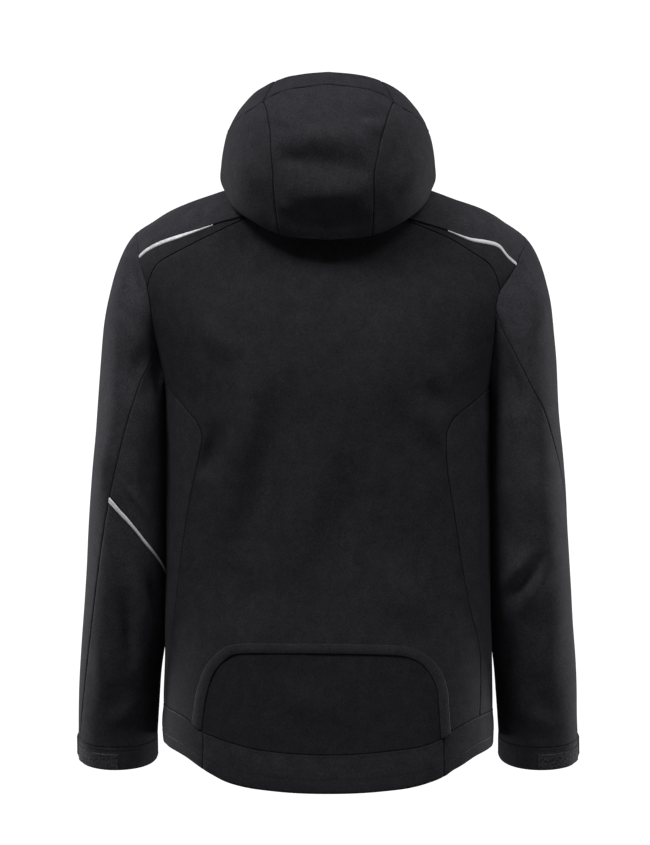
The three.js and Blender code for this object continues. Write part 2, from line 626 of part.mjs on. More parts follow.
function zipHeights() {
  const steps = SEAM_STEPS.frontArmhole + SEAM_STEPS.side;
  const [high, low] = [NECK_FRONT.at(-1)[1], column(HEM, 'angle', 'top', 180)];
  return Array.from({ length: steps + 1 }, (_, j) => mix(high, low, (j / steps) ** 1.25));
}

function addFront(s, shape) {
  const zipAngle = (z) => place(ZIP_HALF, z, true).angle;
  const neck = [...s.neckFront].reverse();
  const yoke = smoothLine(YOKE_FRONT, s.stub.length - 1 + s.yokeSeam.length - 1).map(([x, z]) => place(x, z, true));
  const top = joinLines(neck, yoke);
  const outer = joinLines(s.hole.front, s.frontSeam);
  const down = outer.length - 1;
  const zip = zipHeights().map((z) => ({ angle: zipAngle(z), z }));
  const columns = top.length - 1;
  const bottom = top.map((_, i) => s.hem(mix(zip[down].angle, SIDE_FRONT_ANGLE, i / columns)));
  const grid = gridOf(patch(top, bottom, zip, outer, torsoKeys), onTorso());
  const solid = wall(sided(inset(grid, { top: 1, bottom: 1, left: 0, right: 1 }), shape.sign), WALL,
    { outward: fromAxis });
  addPiece(`front_${s.side}`, solid, COLOURS.shell);
}

// A stretch of hem band between two angles from the centre back
function hemGrid(from, to, columns) {
  const rows = [0, 0.5, 1].map((share) => Array.from({ length: columns + 1 }, (_, i) => {
    const angle = mix(from, to, i / columns);
    const top = column(HEM, 'angle', 'top', angle);
    return { angle, z: mix(top, column(HEM, 'angle', 'edge', angle), share) };
  }));
  return gridOf(rows, onTorso());
}

function addHem() {
  const edges = { top: HEM_SEAM_CUT, bottom: 0, left: 1, right: 1 };
  const end = mix(180, place(ZIP_HALF, HEM[0].edge, true).angle, HEM_END_SHARE);
  const band = (name, from, to, columns, ends) => addPiece(name,
    wall(inset(hemGrid(from, to, columns), { ...edges, ...ends }), BAND_WALL, { outward: fromAxis }), COLOURS.shell);
  band('hem_band_back', -TAIL_ANGLE.left, TAIL_ANGLE.right, HEM_STEPS.back, {});
  band('hem_band_left', -end, -TAIL_ANGLE.left, HEM_STEPS.side, { left: 0 });
  band('hem_band_right', TAIL_ANGLE.right, end, HEM_STEPS.side, { right: 0 });
}

// Sleeve surface. Down is 0 at the armhole and then 1, 2, ... at the rows of the table after the first.
function sleeveSection(row, angle, lift = 0) {
  const spot = {};
  for (const name of ['z', 'inner', 'outer', 'y', 'deep', 'pitch']) {
    spot[name] = column(SLEEVE_ROWS, 'row', name, row);
  }
  const wide = power(Math.cos(radians(angle)), 2 / SLEEVE_POWER) * ((spot.outer - spot.inner) / 2 + lift);
  const deep = power(Math.sin(radians(angle)), 2 / SLEEVE_POWER) * (spot.deep + lift);
  const pitch = radians(spot.pitch);
  return new THREE.Vector3((spot.outer + spot.inner) / 2 + wide, spot.y - deep * Math.cos(pitch),
    spot.z - deep * Math.sin(pitch));
}

const SLEEVE_ROWS = SLEEVE.map((row, i) => ({ ...row, row: i }));

// The armhole as a loop of points with sleeve angles: 0 at the shoulder tip, 180 at the armpit
function armholeLoop(s) {
  const toPoint = (p) => ('lean' in p ? onTorso()(fromOver(p)) : onTorso()(p));
  const measure = (lines, sign) => {
    const points = joinLines(...lines).map(toPoint);
    const run = [0];
    for (let i = 1; i < points.length; i += 1) run.push(run[i - 1] + points[i].distanceTo(points[i - 1]));
    return points.map((point, i) => ({ point, angle: (sign * 180 * run[i]) / run.at(-1) }));
  };
  const back = measure([s.hole.overBack, s.hole.wedge, s.hole.back, s.hole.sideBack], 1);
  const front = measure([s.hole.overFront, s.hole.front, s.hole.sideFront], -1);
  const seamIndex = SEAM_STEPS.tip + SEAM_STEPS.wedge + SEAM_STEPS.sleeveAbove;
  return { back, front, seamIndex };
}

function loopPoint(loop, angle) {
  const turned = ((angle + 180) % 360 + 360) % 360 - 180;
  const list = turned >= 0 ? loop.back : loop.front;
  const size = Math.abs(turned);
  let i = 0;
  while (i < list.length - 2 && Math.abs(list[i + 1].angle) <= size) i += 1;
  const [a, b] = [Math.abs(list[i].angle), Math.abs(list[i + 1].angle)];
  return list[i].point.clone().lerp(list[i + 1].point, Math.min(Math.max((size - a) / (b - a), 0), 1));
}

function sleevePoint(loop, down, angle, lift = 0) {
  if (down >= 1) return sleeveSection(down - 1, angle, lift);
  const cosine = Math.cos(radians(angle));
  const leave = new THREE.Vector3(SLEEVE_LEAVE.out + SLEEVE_LEAVE.outTop * cosine,
    -SLEEVE_LEAVE.away * Math.sin(radians(angle)), -SLEEVE_LEAVE.down + SLEEVE_LEAVE.downTop * cosine).normalize();
  const start = loopPoint(loop, angle).addScaledVector(leave, SLEEVE_START_GAP);
  start.x += UNDERARM_GAP * ((1 - cosine) / 2);
  const end = sleeveSection(0, angle, lift);
  const onward = sleeveSection(ONWARD_STEP, angle, lift).sub(end).normalize();
  const length = start.distanceTo(end);
  const u = down;
  const leaving = leave.multiplyScalar(SLEEVE_LEAVE.pull * length * u * (1 - u) ** 2);
  const arriving = onward.multiplyScalar(length * -u * u * (1 - u));
  return start.lerp(end, u * u * (3 - 2 * u)).add(leaving).add(arriving);
}

const backSeamAngle = (down, side) => (down >= 1 ? column(SLEEVE_ROWS, 'row', side, down - 1)
  : column(SLEEVE_TOP_SEAM, 'share', side, down));

// Columns of one sleeve part: at the armhole they take the loop's own points
function sleeveGrid(loop, side, part, downs) {
  const all = [...loop.front].reverse().map((p) => p.angle).slice(0, -1).concat(loop.back.map((p) => p.angle));
  const zero = all.indexOf(0);
  const seam = zero + loop.seamIndex;
  const frontIndex = all.findIndex((angle) => angle >= SLEEVE_FRONT_SEAM);
  const indices = part === 'outer' ? { from: frontIndex, to: seam } : { from: seam, to: all.length - 1 + frontIndex };
  const start = [];
  for (let k = indices.from; k <= indices.to; k += 1) {
    start.push(k < all.length ? all[k] : all[k - all.length + 1] + 360);
  }
  const count = start.length - 1;
  const seamStart = all[seam];
  const frontStart = all[frontIndex];
  return downs.map((down) => start.map((first, i) => {
    const back = mix(seamStart - SLEEVE_TOP_SEAM[0][side], 0, Math.min(down, 1)) + backSeamAngle(down, side);
    const front = mix(frontStart, SLEEVE_FRONT_SEAM, Math.min(down, 1));
    const ends = part === 'outer' ? [front, back] : [back, front + 360];
    const ends0 = part === 'outer' ? [frontStart, seamStart] : [seamStart, frontStart + 360];
    const own = first - mix(ends0[0], ends0[1], i / count);
    return { down, angle: mix(ends[0], ends[1], i / count) + own * Math.max(0, 1 - down), share: i / count };
  }));
}

function addSleeve(s, shape) {
  const loop = armholeLoop(s);
  const toPoint = ({ down, angle }) => sleevePoint(loop, down, angle);
  const downs = SLEEVE_DOWNS;
  const sleeveWall = (rows, edges) => wall(sided(inset(gridOf(rows, toPoint), edges), shape.sign), WALL,
    { outward: sleeveOut(shape.sign) });
  const edges = { top: 0, bottom: 1, left: SLEEVE_SEAM_CUT, right: SLEEVE_SEAM_CUT };
  addPiece(`sleeve_outer_${s.side}`, sleeveWall(sleeveGrid(loop, s.side, 'outer', downs), edges), COLOURS.sleeve);
  if (s.side === 'right') {
    addPiece('sleeve_under_right', sleeveWall(sleeveGrid(loop, s.side, 'under', downs), edges), COLOURS.sleeve);
    addCuff(s, shape);
    return;
  }
  const slant = (share) => mix(ELBOW_SEAM.outer, ELBOW_SEAM.inner, Math.min(share / ELBOW_SEAM.level, 1));
  const above = downs.filter((down) => down <= 3);
  const firstBelow = above.indexOf(1);
  const lastAbove = above.length - 1;
  const below = Array.from({ length: ELBOW_ROWS_BELOW + 1 }, (_, j) => j / ELBOW_ROWS_BELOW);
  const grid = sleeveGrid(loop, s.side, 'under', downs);
  const columnAt = (i, down) => {
    const k = Math.min(downs.findIndex((value) => value >= down - 1e-9), downs.length - 1);
    const before = Math.max(k - 1, 0);
    const share = k === before ? 0 : (down - downs[before]) / (downs[k] - downs[before]);
    return { down, angle: mix(grid[before][i].angle, grid[k][i].angle, share) };
  };
  const columns = grid[0].map((spot) => spot.share);
  const upper = above.map((down, j) => columns.map((share, i) => {
    const stretched = down <= 1 ? down : mix(1, slant(share), (j - firstBelow) / (lastAbove - firstBelow));
    return columnAt(i, stretched);
  }));
  const lower = below.map((v) => columns.map((share, i) => columnAt(i, mix(slant(share), SLEEVE_END + 1, v))));
  addPiece('sleeve_under_left_upper', sleeveWall(upper, edges), COLOURS.sleeve);
  addPiece('sleeve_under_left_lower', sleeveWall(lower, { ...edges, top: 1 }), COLOURS.sleeve);
  addElbowPiping(loop, shape, columns, slant, columnAt);
  addCuff(s, shape);
}

const sleeveOut = (sign) => (p) => {
  const row = SLEEVE.reduce((best, one) => (Math.abs(one.z - p.z) < Math.abs(best.z - p.z) ? one : best));
  return new THREE.Vector3(p.x - (sign * (row.inner + row.outer)) / 2, p.y - row.y, 0);
};

// The reflective piping across the left elbow, in the seam of the under sleeve
function addElbowPiping(loop, shape, columns, slant, columnAt) {
  const steps = 12;
  const last = columns.length - 1;
  const rows = [0, 1].map((edge) => Array.from({ length: steps + 1 }, (_, i) => {
    const share = mix(ELBOW_SEAM.pipingStart, ELBOW_SEAM.pipingEnd, i / steps);
    const k = Math.min(Math.floor(share * last), last - 1);
    const down = slant(share) + ELBOW_SEAM.pipingDrop + (edge * PIPING.width) / SLEEVE_ROW_STEP;
    const [a, b] = [columnAt(k, down), columnAt(k + 1, down)];
    return { down, angle: mix(a.angle, b.angle, share * last - k) };
  }));
  const grid = gridOf(rows, ({ down, angle }) => sleevePoint(loop, down, angle));
  const solid = wall(sided(grid, shape.sign), PIPING.thickness,
    { outward: sleeveOut(shape.sign), lift: PIPING.thickness + PIPING.lift });
  addPiece('elbow_piping_left', solid, COLOURS.reflective, { roughness: 0.4 });
}

// A cuff is a closed ring below the sleeve, with a loop strip at the back and a tab at its outer side
function addCuff(s, shape) {
  const round = CUFF_STEPS.round;
  const bandAt = (share) => SLEEVE_END + share * (CUFF_END - SLEEVE_END);
  const drop = SEAM_GAP / CUFF_HEIGHT;
  const ring = [drop, 0.5, 1].map((share) => Array.from({ length: round }, (_, i) => (
    sleeveSection(bandAt(share), (360 * i) / round))));
  const cuff = wall(sided(ring, shape.sign), BAND_WALL, { outward: sleeveOut(shape.sign), closed: true });
  addPiece(`cuff_${s.side}`, cuff, COLOURS.sleeve);
  const overlay = (name, [from, to], [high, low], size, colour) => {
    const steps = CUFF_STEPS.overlay;
    const rows = [high, (high + low) / 2, low].map((share) => Array.from({ length: steps + 1 }, (_, i) => (
      sleeveSection(bandAt(share), mix(from, to, i / steps)))));
    addPiece(`${name}_${s.side}`, wall(sided(rows, shape.sign), size.thickness,
      { outward: sleeveOut(shape.sign), lift: size.thickness + size.lift + CUFF_LIFT }), colour);
  };
  overlay('cuff_loop_strip', shape.stripAngles, STRIP.across, STRIP, COLOURS.loop);
  overlay('cuff_tab', shape.tabAngles, TAB.across, TAB, COLOURS.sleeve);
}

// Hood surface: at each angle round the neck a profile runs from the neck seam to the rim
function neckLine(s) {
  const toPoint = (p) => ('lean' in p ? onTorso()(fromOver(p)) : onTorso()(p));
  const points = joinLines(s.neckBack, s.neckOver, s.neckFront).map(toPoint);
  return points.map((p) => ({ angle: degrees(Math.atan2(p.x, -p.y)), reach: Math.hypot(p.x, p.y), z: p.z }));
}

const neck = neckLine(seams.right);
const HOOD_STAGES = ['under', 'bottom', 'bulge', 'upper', 'rim'];
const HOOD_TABLE = HOOD.map((row) => {
  const flat = { angle: row.angle, band: row.band };
  for (const stage of HOOD_STAGES) [flat[`${stage}Reach`], flat[`${stage}Z`]] = row[stage];
  return flat;
});

function hoodPoint(angle, share) {
  const size = Math.abs(angle);
  const stages = [[column(neck, 'angle', 'reach', size), column(neck, 'angle', 'z', size) + HOOD_START_GAP]];
  for (const stage of HOOD_STAGES) {
    stages.push(['Reach', 'Z'].map((name) => column(HOOD_TABLE, 'angle', `${stage}${name}`, size)));
  }
  const curve = new THREE.SplineCurve(stages.map(([reach, z]) => new THREE.Vector2(reach, z)));
  const { x: reach, y: z } = curve.getPoint(share);
  return new THREE.Vector3(reach * Math.sin(radians(angle)), -reach * Math.cos(radians(angle)), z);
}

const bandStart = (angle) => column(HOOD_TABLE, 'angle', 'band', Math.abs(angle));
const hoodFrontAngle = (reach) => 180 - degrees(Math.asin(ZIP_HALF / reach));

function addHood() {
  const hoodSeam = NECK_STEPS.hoodSeam;
  const seamNeck = neck[hoodSeam].angle;
  const outward = (p) => new THREE.Vector3(p.x, p.y, 0);
  const settle = (share) => Math.max(0, 1 - share / HOOD_SETTLE);
  const lastShare = HOOD_SEAM.at(-1).share;
  const seamAngle = (side) => (share) => column(HOOD_SEAM, 'share', side, Math.min(share, lastShare));
  const seam = (side) => (share) => seamAngle(side)(share) + (seamNeck - seamAngle(side)(0)) * settle(share);
  const front = () => hoodFrontAngle(HOOD.at(-1).rim[0]);
  const angleRows = (firsts, from, to) => Array.from({ length: HOOD_ROWS + 1 }, (_, j) => firsts.map((first, i) => {
    const across = i / (firsts.length - 1);
    const angleAt = (share) => mix(from(share), to(share), across)
      + (first - mix(from(0), to(0), across)) * settle(share);
    const share = (bandStart(angleAt(0.9)) * j) / HOOD_ROWS;
    return { angle: angleAt(share), share };
  }));
  const toPoint = ({ angle, share }) => hoodPoint(angle, share);
  const edges = { top: 0, bottom: 1, left: 2, right: 2 };
  const inner = neck.slice(0, hoodSeam + 1).map((p) => p.angle);
  const centreFirsts = [...inner].reverse().map((angle) => -angle).concat(inner.slice(1));
  const centre = angleRows(centreFirsts, (share) => -seam('left')(share), seam('right'));
  addPiece('hood_centre', wall(inset(gridOf(centre, toPoint), edges), WALL, { outward }), COLOURS.hood);
  const sideFirsts = neck.slice(hoodSeam).map((p) => p.angle);
  const tops = {};
  for (const side of ['left', 'right']) {
    const rows = angleRows(sideFirsts, seam(side), front);
    tops[side] = rows.at(-1);
    const grid = inset(gridOf(rows, toPoint), { ...edges, right: 0 });
    const solid = wall(sided(grid, SIDES[side].sign), WALL, { outward });
    addPiece(`hood_side_${side}`, solid, COLOURS.hood);
  }
  const leftTop = [...tops.left].reverse().map(({ angle, share }) => ({ angle: -angle, share }));
  const top = joinLines(leftTop, centre.at(-1), tops.right);
  const band = [0, 0.5, 1].map((up) => top.map(({ angle, share }) => hoodPoint(angle, mix(share, 1, up))));
  const ends = { top: 1, bottom: 0, left: 0, right: 0 };
  addPiece('hood_edge_band', wall(inset(band, ends), WALL, { outward }), COLOURS.hood);
}

// Centre front line, from the hem to the top of the zip, on the fronts' own heights
function frontLine() {
  const hem = column(HEM, 'angle', 'edge', 180);
  const low = [hem + 1, mix(hem, column(HEM, 'angle', 'top', 180), 0.5)];
  const heights = [...low, ...[...zipHeights()].reverse()];
  const line = heights.map((z) => torso(180, z));
  for (const share of [0.08, 0.2, 0.4, 0.6, 0.8]) line.push(hoodPoint(180, share));
  const last = line.at(-1).clone();
  last.z = ZIP_TOP;
  line.push(last);
  return line;
}

// Each half of the zip: a tape behind the edge of the front, with its half of the chain raised between
function addZip() {
  const line = frontLine();
  const sectionAt = (z) => {
    const behind = BAND_WALL + TAPE.behind;
    const onHood = z > NECK_FRONT.at(-1)[1] - TAPE.neckAbove;
    const far = behind + (onHood ? TAPE.width ** 2 / (2 * TAPE.neckRound) : TAPE.gap);
    return [
      [TAPE.gap, TAPE.sunk], [TAPE.chain, TAPE.sunk], [TAPE.chain, behind], [TAPE.width, far],
      [TAPE.width, far + TAPE.thickness], [TAPE.gap, behind + TAPE.thickness],
    ];
  };
  const size = sectionAt(0).length;
  for (const [side, sign] of [['left', -1], ['right', 1]]) {
    const points = line.flatMap((p, j) => {
      const along = line[Math.min(j + 1, line.length - 1)].clone().sub(line[Math.max(j - 1, 0)]).normalize();
      const back = new THREE.Vector3(0, -along.z, along.y);
      return sectionAt(p.z).map(([x, depth]) => (
        new THREE.Vector3(sign * x, p.y + back.y * depth, p.z + back.z * depth)));
    });
    const quads = [];
    for (let j = 0; j < line.length - 1; j += 1) {
      for (let k = 0; k < size; k += 1) {
        const next = (k + 1) % size;
        quads.push([j * size + k, j * size + next, (j + 1) * size + next, (j + 1) * size + k]);
      }
    }
    const cap = (j, turn) => {
      const at = (k) => j * size + k;
      const faces = [[0, 1, 2, 5], [2, 3, 4, 5]].map((face) => face.map(at));
      return turn ? faces.map((face) => [...face].reverse()) : faces;
    };
    quads.push(...cap(0, true), ...cap(line.length - 1, false));
    addPiece(`zip_tape_${side}`, facingOut(solidOf(points, quads)), COLOURS.tape);
  }
  addSlider(line.at(-1));
}

// The slider is a clip over the top of the chain, with a bail in front that the pull hangs from
function addSlider(top) {
  const face = top.y + SLIDER.play;
  const rear = top.y - BAND_WALL - TAPE.behind - TAPE.thickness - SLIDER.play;
  const extruded = (outline, width) => {
    const shape = new THREE.Shape(outline.map(([y, z]) => new THREE.Vector2(y, z)));
    const solid = new THREE.ExtrudeGeometry(shape, { depth: width, bevelEnabled: false });
    solid.applyMatrix4(new THREE.Matrix4().makeBasis(
      new THREE.Vector3(0, 1, 0), new THREE.Vector3(0, 0, 1), new THREE.Vector3(1, 0, 0)));
    solid.translate(-width / 2, 0, 0);
    return solid;
  };
  const crown = ZIP_TOP + SLIDER.play;
  const body = extruded([
    [face, SLIDER.low], [face + SLIDER.plate, SLIDER.low], [face + SLIDER.plate, SLIDER.high],
    [rear - SLIDER.rear, SLIDER.high], [rear - SLIDER.rear, SLIDER.low], [rear, SLIDER.low],
    [rear, crown], [face, crown],
  ], SLIDER.width - 1.6);
  const front = face + SLIDER.plate;
  const pivotY = front + BAIL.reach;
  const outer = BAIL.slot / 2 + BAIL.strap;
  const bail = new THREE.Shape();
  bail.moveTo(front - 0.4, SLIDER.pivotZ - outer);
  bail.lineTo(pivotY, SLIDER.pivotZ - outer);
  bail.absarc(pivotY, SLIDER.pivotZ, outer, -Math.PI / 2, Math.PI / 2, false);
  bail.lineTo(front - 0.4, SLIDER.pivotZ + outer);
  const slot = new THREE.Path();
  slot.absarc(pivotY, SLIDER.pivotZ, BAIL.slot / 2, 0, Math.PI * 2, true);
  bail.holes.push(slot);
  const arch = new THREE.ExtrudeGeometry(bail, { depth: SLIDER.bailWidth, bevelEnabled: false, curveSegments: 8 });
  arch.applyMatrix4(new THREE.Matrix4().makeBasis(
    new THREE.Vector3(0, 1, 0), new THREE.Vector3(0, 0, 1), new THREE.Vector3(1, 0, 0)));
  arch.translate(-SLIDER.bailWidth / 2, 0, 0);
  const metal = { metalness: 0.8, roughness: 0.4 };
  addPiece('zip_slider', fromManifold(toManifold(body).add(toManifold(arch))), COLOURS.metal, metal);

  const half = PULL.width / 2;
  const gap = SLIDER.bailWidth / 2 + PULL.slack;
  const bar = PULL.bar / 2;
  const plate = new THREE.Shape();
  plate.moveTo(-half, bar);
  plate.lineTo(-half, -PULL.length + half);
  plate.absarc(0, -PULL.length + half, half, Math.PI, Math.PI * 2, false);
  plate.lineTo(half, bar);
  plate.closePath();
  const window = new THREE.Path();
  window.moveTo(-gap, -bar);
  window.lineTo(gap, -bar);
  window.lineTo(gap, -PULL.window);
  window.lineTo(-gap, -PULL.window);
  window.closePath();
  const eye = new THREE.Path();
  eye.absarc(0, -PULL.length + half + 1, PULL.hole / 2, 0, Math.PI * 2, true);
  plate.holes.push(window, eye);
  const pull = new THREE.ExtrudeGeometry(plate, { depth: PULL.bar, bevelEnabled: false, curveSegments: 8 });
  pull.rotateX(Math.PI / 2);
  pull.translate(0, pivotY + bar, SLIDER.pivotZ);
  addPiece('zip_pull', fromManifold(toManifold(pull)), COLOURS.metal, metal);
}

addBack();
for (const side of ['left', 'right']) {
  const shape = SIDES[side];
  const s = seams[side];
  addWedge(s, shape);
  addYoke(s, shape);
  addPiping(s, shape);
  addSidePanel(s, shape);
  addFront(s, shape);
  addSleeve(s, shape);
}
addHem();
addHood();
addZip();

export default jacket;
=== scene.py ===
import bpy
import numpy as np
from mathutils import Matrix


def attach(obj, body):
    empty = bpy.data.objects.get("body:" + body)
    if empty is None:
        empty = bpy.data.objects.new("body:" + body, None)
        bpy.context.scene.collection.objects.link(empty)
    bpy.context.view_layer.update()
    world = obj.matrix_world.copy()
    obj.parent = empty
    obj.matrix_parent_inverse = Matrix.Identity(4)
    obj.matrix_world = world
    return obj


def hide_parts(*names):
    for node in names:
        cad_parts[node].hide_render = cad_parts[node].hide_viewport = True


bl_info = {
    "name": "Hooded softshell jacket",
    "version": (1, 0, 0),
    "blender": (4, 5, 0),
    "location": "3D View > Sidebar > Jacket",
    "description": "A worn softshell jacket seen from behind: panels, folds, seams, stitching, zip and stage",
    "category": "Object",
}

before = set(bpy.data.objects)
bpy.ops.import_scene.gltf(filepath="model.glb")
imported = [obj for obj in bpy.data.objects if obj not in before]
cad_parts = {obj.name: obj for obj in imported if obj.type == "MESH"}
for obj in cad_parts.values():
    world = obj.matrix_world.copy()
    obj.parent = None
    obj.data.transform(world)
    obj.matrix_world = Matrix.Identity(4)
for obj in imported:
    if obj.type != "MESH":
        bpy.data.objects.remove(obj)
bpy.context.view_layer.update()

# All tables are in millimetres, with +Z up and the jacket's back facing -Y. Each panel lies on one of
# three surfaces: torso, sleeve or hood. Tables and formulas are those of the part's own solids.
MM = 0.001
EYE_DISTANCE = 3600.0
EYE = (-4.0, -295.0)
LENS = 121.0
SEAM_GAP = 0.3
FINE = 12


def table(names, rows):
    """A table with named columns, from rows of numbers in the same order."""
    return {name: np.array([row[i] for row in rows], float) for i, name in enumerate(names.split())}


TORSO_POWER = 2.4
SLEEVE_POWER = 2.2
SHOULDER_ROUND = 75.0
SHOULDER_POWER = 2.2
ARMPIT_Z = -266.0
ZIP_HALF = 4.0
ZIP_TOP = 8.0
BAND_WALL = 2.8
SIDE_FRONT_ANGLE = 113.0
SLEEVE_FRONT_SEAM = -130.0
SLEEVE_END = 6.0
SLEEVE_LEAN = 1.7
ELBOW_SEAM = (2.3, 3.98)
ELBOW_BEND = 1.15
ELBOW_LEVEL = 0.72
TAIL_ANGLES = (-44.0, 39.0)
# The sleeve head leaves the armhole outwards, back and down, each as its middle value and its change round
# the armhole, with a pull that is a share of its length
HEAD_OUT, HEAD_BACK, HEAD_DOWN = (0.585, 0.185), -0.25, (-0.78, 0.14)
HEAD_PULL = 0.64
# Shares of the hood's profile: the end of its seam tables, and where their foot meets the neck's mark
HOOD_SEAM_END = 0.95
HOOD_SEAM_FOOT = 0.4
NECK_MARK = 6
# Shares of the under sleeve's width that the elbow piping spans, and its gap below the seam
ELBOW_PIPING = (0.012, 0.7)
ELBOW_PIPING_GAP = 0.4
# Rolled edges as (depth, width): in a full seam, on a turned edge, under a band, along a band, at its ends,
# where a band is joined on, on the free edges of hem, cuffs and rim, and at top and bottom of two panels
SEAM_ROLL = (1.7, 3.0)
TURNED_ROLL = (0.8, 2.4)
UNDER_ROLL = (0.6, 2.0)
BAND_ROLL = (0.7, 2.2)
END_ROLL = (0.8, 2.2)
JOIN_ROLL = (0.9, 2.4)
HEM_ROLL = (2.0, 4.5)
CUFF_ROLL = (1.6, 3.6)
RIM_ROLL = (1.8, 4.0)
HOOD_ROLLS = ((0.4, 2.0), (0.9, 2.6))
WEDGE_ROLLS = ((0.4, 1.2), (0.5, 1.4))
# Rough width and length of each panel, for the number of its rows and columns
PANELS = {
    "back": (430, 640), "inset": (290, 105), "wedge": (150, 28), "yoke": (175, 110), "side": (150, 400),
    "front": (250, 610),
}
HOOD_PANELS = (("hood_side_left", 330), ("hood_centre", 130), ("hood_side_right", 330))
HOOD_LENGTH = 270
SLEEVE_WIDTH = 210
ELBOW_LENGTHS = (340, 260)
# Height, spacing of rows and start of the three bands
HEM_ROWS = (47, 2.4, -0.3)
CUFF_ROWS = (32, 2.4, -0.2)
RIM_ROWS = (24, 1.8, -0.2)
# Strips on the cuffs: angles, shares of the cuff's height, gap below and thickness
LOOP_STRIP = ((19, 93), (0.2, 0.92), 0.3, 1.5)
CUFF_TAB = ((-70, 10), (0.04, 0.8), 0.5, 1.4)
# Welt: gap below and rise of its half round, depth, first and last row out from the seam and their count
WELT_ROUND = (0.4, 2.2)
WELT_DEPTH = 0.3
WELT_ROWS = (-0.6, 13, 14)
HOLE_MARGIN = 2.5
# Topstitching: its distance from the edge of each piece, and the groove it pulls into the cloth
ZIP_STITCH = 6.5
HEM_STITCH = 15.0
BAND_STITCH = 2.6
ARMHOLE_STITCH = 8.5
CUFF_STITCHES = (5.2, 4.6)
WELT_STITCHES = (2.4, 2.2)
STRIP_STITCH = 2.0
GROOVE_DEPTH = 0.5
GROOVE_WIDTH = 1.3
STITCH_GAP = 1.0
STITCH_LIFT = 0.12
STITCH_HALF = (0.34, 0.3)
# Half width of the shade painted along a seam, depth of the seams that cross the hood's band, and the
# armholes' allowance
SHADE_WIDTH = 1.1
CROSS_SEAM_DEPTH = 1.2
ARMHOLE_TUCK = 1.5
# Gathers beside seams: length of a wave, of its drift and of its swell, and how far in they reach
GATHER_STEP = 5.3
GATHER_DRIFT = 23.0
GATHER_SWELL = 41.0
GATHER_REACH = 7.0
CALM_EDGE = (-6, 22)
# Reflective strips: gap below, rise of the half round and depth under the cloth
STRIP_FOOT = 0.3
STRIP_RISE = 1.1
STRIP_DEPTH = 0.5
# Zip: depth of the tape, spacing, place and half sizes of the teeth
TAPE_GAP = 0.5
TAPE_DEPTH = 0.9
TOOTH_PITCH = 2.6
TOOTH_ASIDE = 1.25
TOOTH_INWARD = 1.6
TOOTH_HALF = (2.1, 0.6, 1.25)
BLOCK_RINGS = 4
BLOCK_SIDES = 8

TORSO = table("z half side back front", [
    (30, 258, 5, 112, 38), (-5, 260, 5, 114, 46), (-60, 264, 5, 106, 60), (-100, 259, 4, 118, 78),
    (-150, 245, 2, 132, 102), (-203, 222, 0, 139, 118), (-246, 209, 0, 142, 127), (-266, 206, 0, 141, 130),
    (-350, 206, 0, 134, 133), (-450, 206, 0, 126, 131), (-550, 206, 0, 129, 131), (-650, 208, 0, 137, 131),
    (-760, 210, 0, 144, 130),
])
SHOULDER = table("x z", [
    (0, 13), (78, 12), (120, 2.5), (157, -10), (179, -18), (197, -25.5), (211, -33), (223, -41), (236, -49),
    (246, -56.5), (262, -70),
])
HEM = table("angle top edge", [
    (-180, -656, -702), (-120, -652, -699), (-90, -649, -697), (-75, -650, -699), (-56, -659, -708),
    (-44, -676, -722), (-32, -686.5, -736), (-20, -695, -743), (0, -700.5, -747.5), (21, -695, -743),
    (30, -691, -738), (39, -682, -730), (45, -672, -722), (62, -659, -707), (90, -655, -701),
    (120, -654, -699), (180, -656, -702),
])
SLEEVE = table("row z inner outer y deep pitch left right", [
    (0, -290, 207, 293, -2, 86, 0, 91.7, 61.5), (1, -360, 207, 298.5, -2, 80, 3, 73.7, 30.6),
    (2, -430, 207, 303, 1, 73, 6, 58.8, 12), (3, -490, 207, 307.5, 8, 66, 10, 49.9, 0),
    (4, -560, 208, 313, 24, 58, 14, 40.8, -8), (5, -630, 215, 319, 42, 50, 17, 33.7, -14),
    (6, -695.6, 219.5, 321.5, 61, 45, 18, 20.2, -19), (7, -726, 220.5, 322, 71, 44.5, 18, 18, -20),
])
SLEEVE_TOP_SEAM = table("share left right", [
    (0, 122.5, 90.7), (0.15, 122.8, 95.8), (0.3, 120, 95.3), (0.45, 115.4, 92.3), (0.6, 108.8, 88.2),
    (0.8, 100.2, 78.7), (1, 91.7, 61.5),
])
HOOD_STAGES = ("under", "bottom", "bulge", "upper", "rim")
HOOD = table("angle under_reach under_z bottom_reach bottom_z bulge_reach bulge_z "
             "upper_reach upper_z rim_reach rim_z band", [
    (0, 98, -8, 136, -72, 174, -2, 160, 78, 112, 137, 0.92),
    (25, 100, -5, 141, -65, 174, 0, 161, 76, 115, 132, 0.905),
    (45, 104, 3, 149, -38, 168, 4, 153, 72, 118, 120, 0.86),
    (65, 106, 13, 141, -6, 146, 22, 138, 66, 119, 101, 0.83),
    (90, 102, 20, 130, 14, 131, 34, 125, 62, 116, 84, 0.82),
    (120, 92, 7, 107, 8, 109, 25, 106, 45, 101, 63, 0.8),
    (150, 78, -42, 84, -22, 86, -2, 85, 18, 82, 37, 0.78),
    (180, 69, -56, 71, -38, 72, -18, 71, 2, 69, 20, 0.78),
])
HOOD_SEAM = table("share left right", [
    (0, 36, 34), (0.2, 30, 27), (0.4, 24.8, 22.5), (0.6, 22.7, 18.6), (0.7, 24, 21),
    (0.77, 26, 24.7), (0.85, 31, 31), (0.9, 38, 38.5), (0.95, 44, 47),
])
ARCH = np.array([
    (-158, -700), (-157, -681), (-152, -642), (-146.4, -618.5), (-139, -601), (-126, -586.5), (-109, -578.5),
    (-60, -577.5), (0, -577.5), (50, -578.5), (80, -580), (97, -582.5), (113.8, -591), (126.6, -606),
    (134, -625), (135.6, -643.5), (138, -681), (139, -700),
], float)

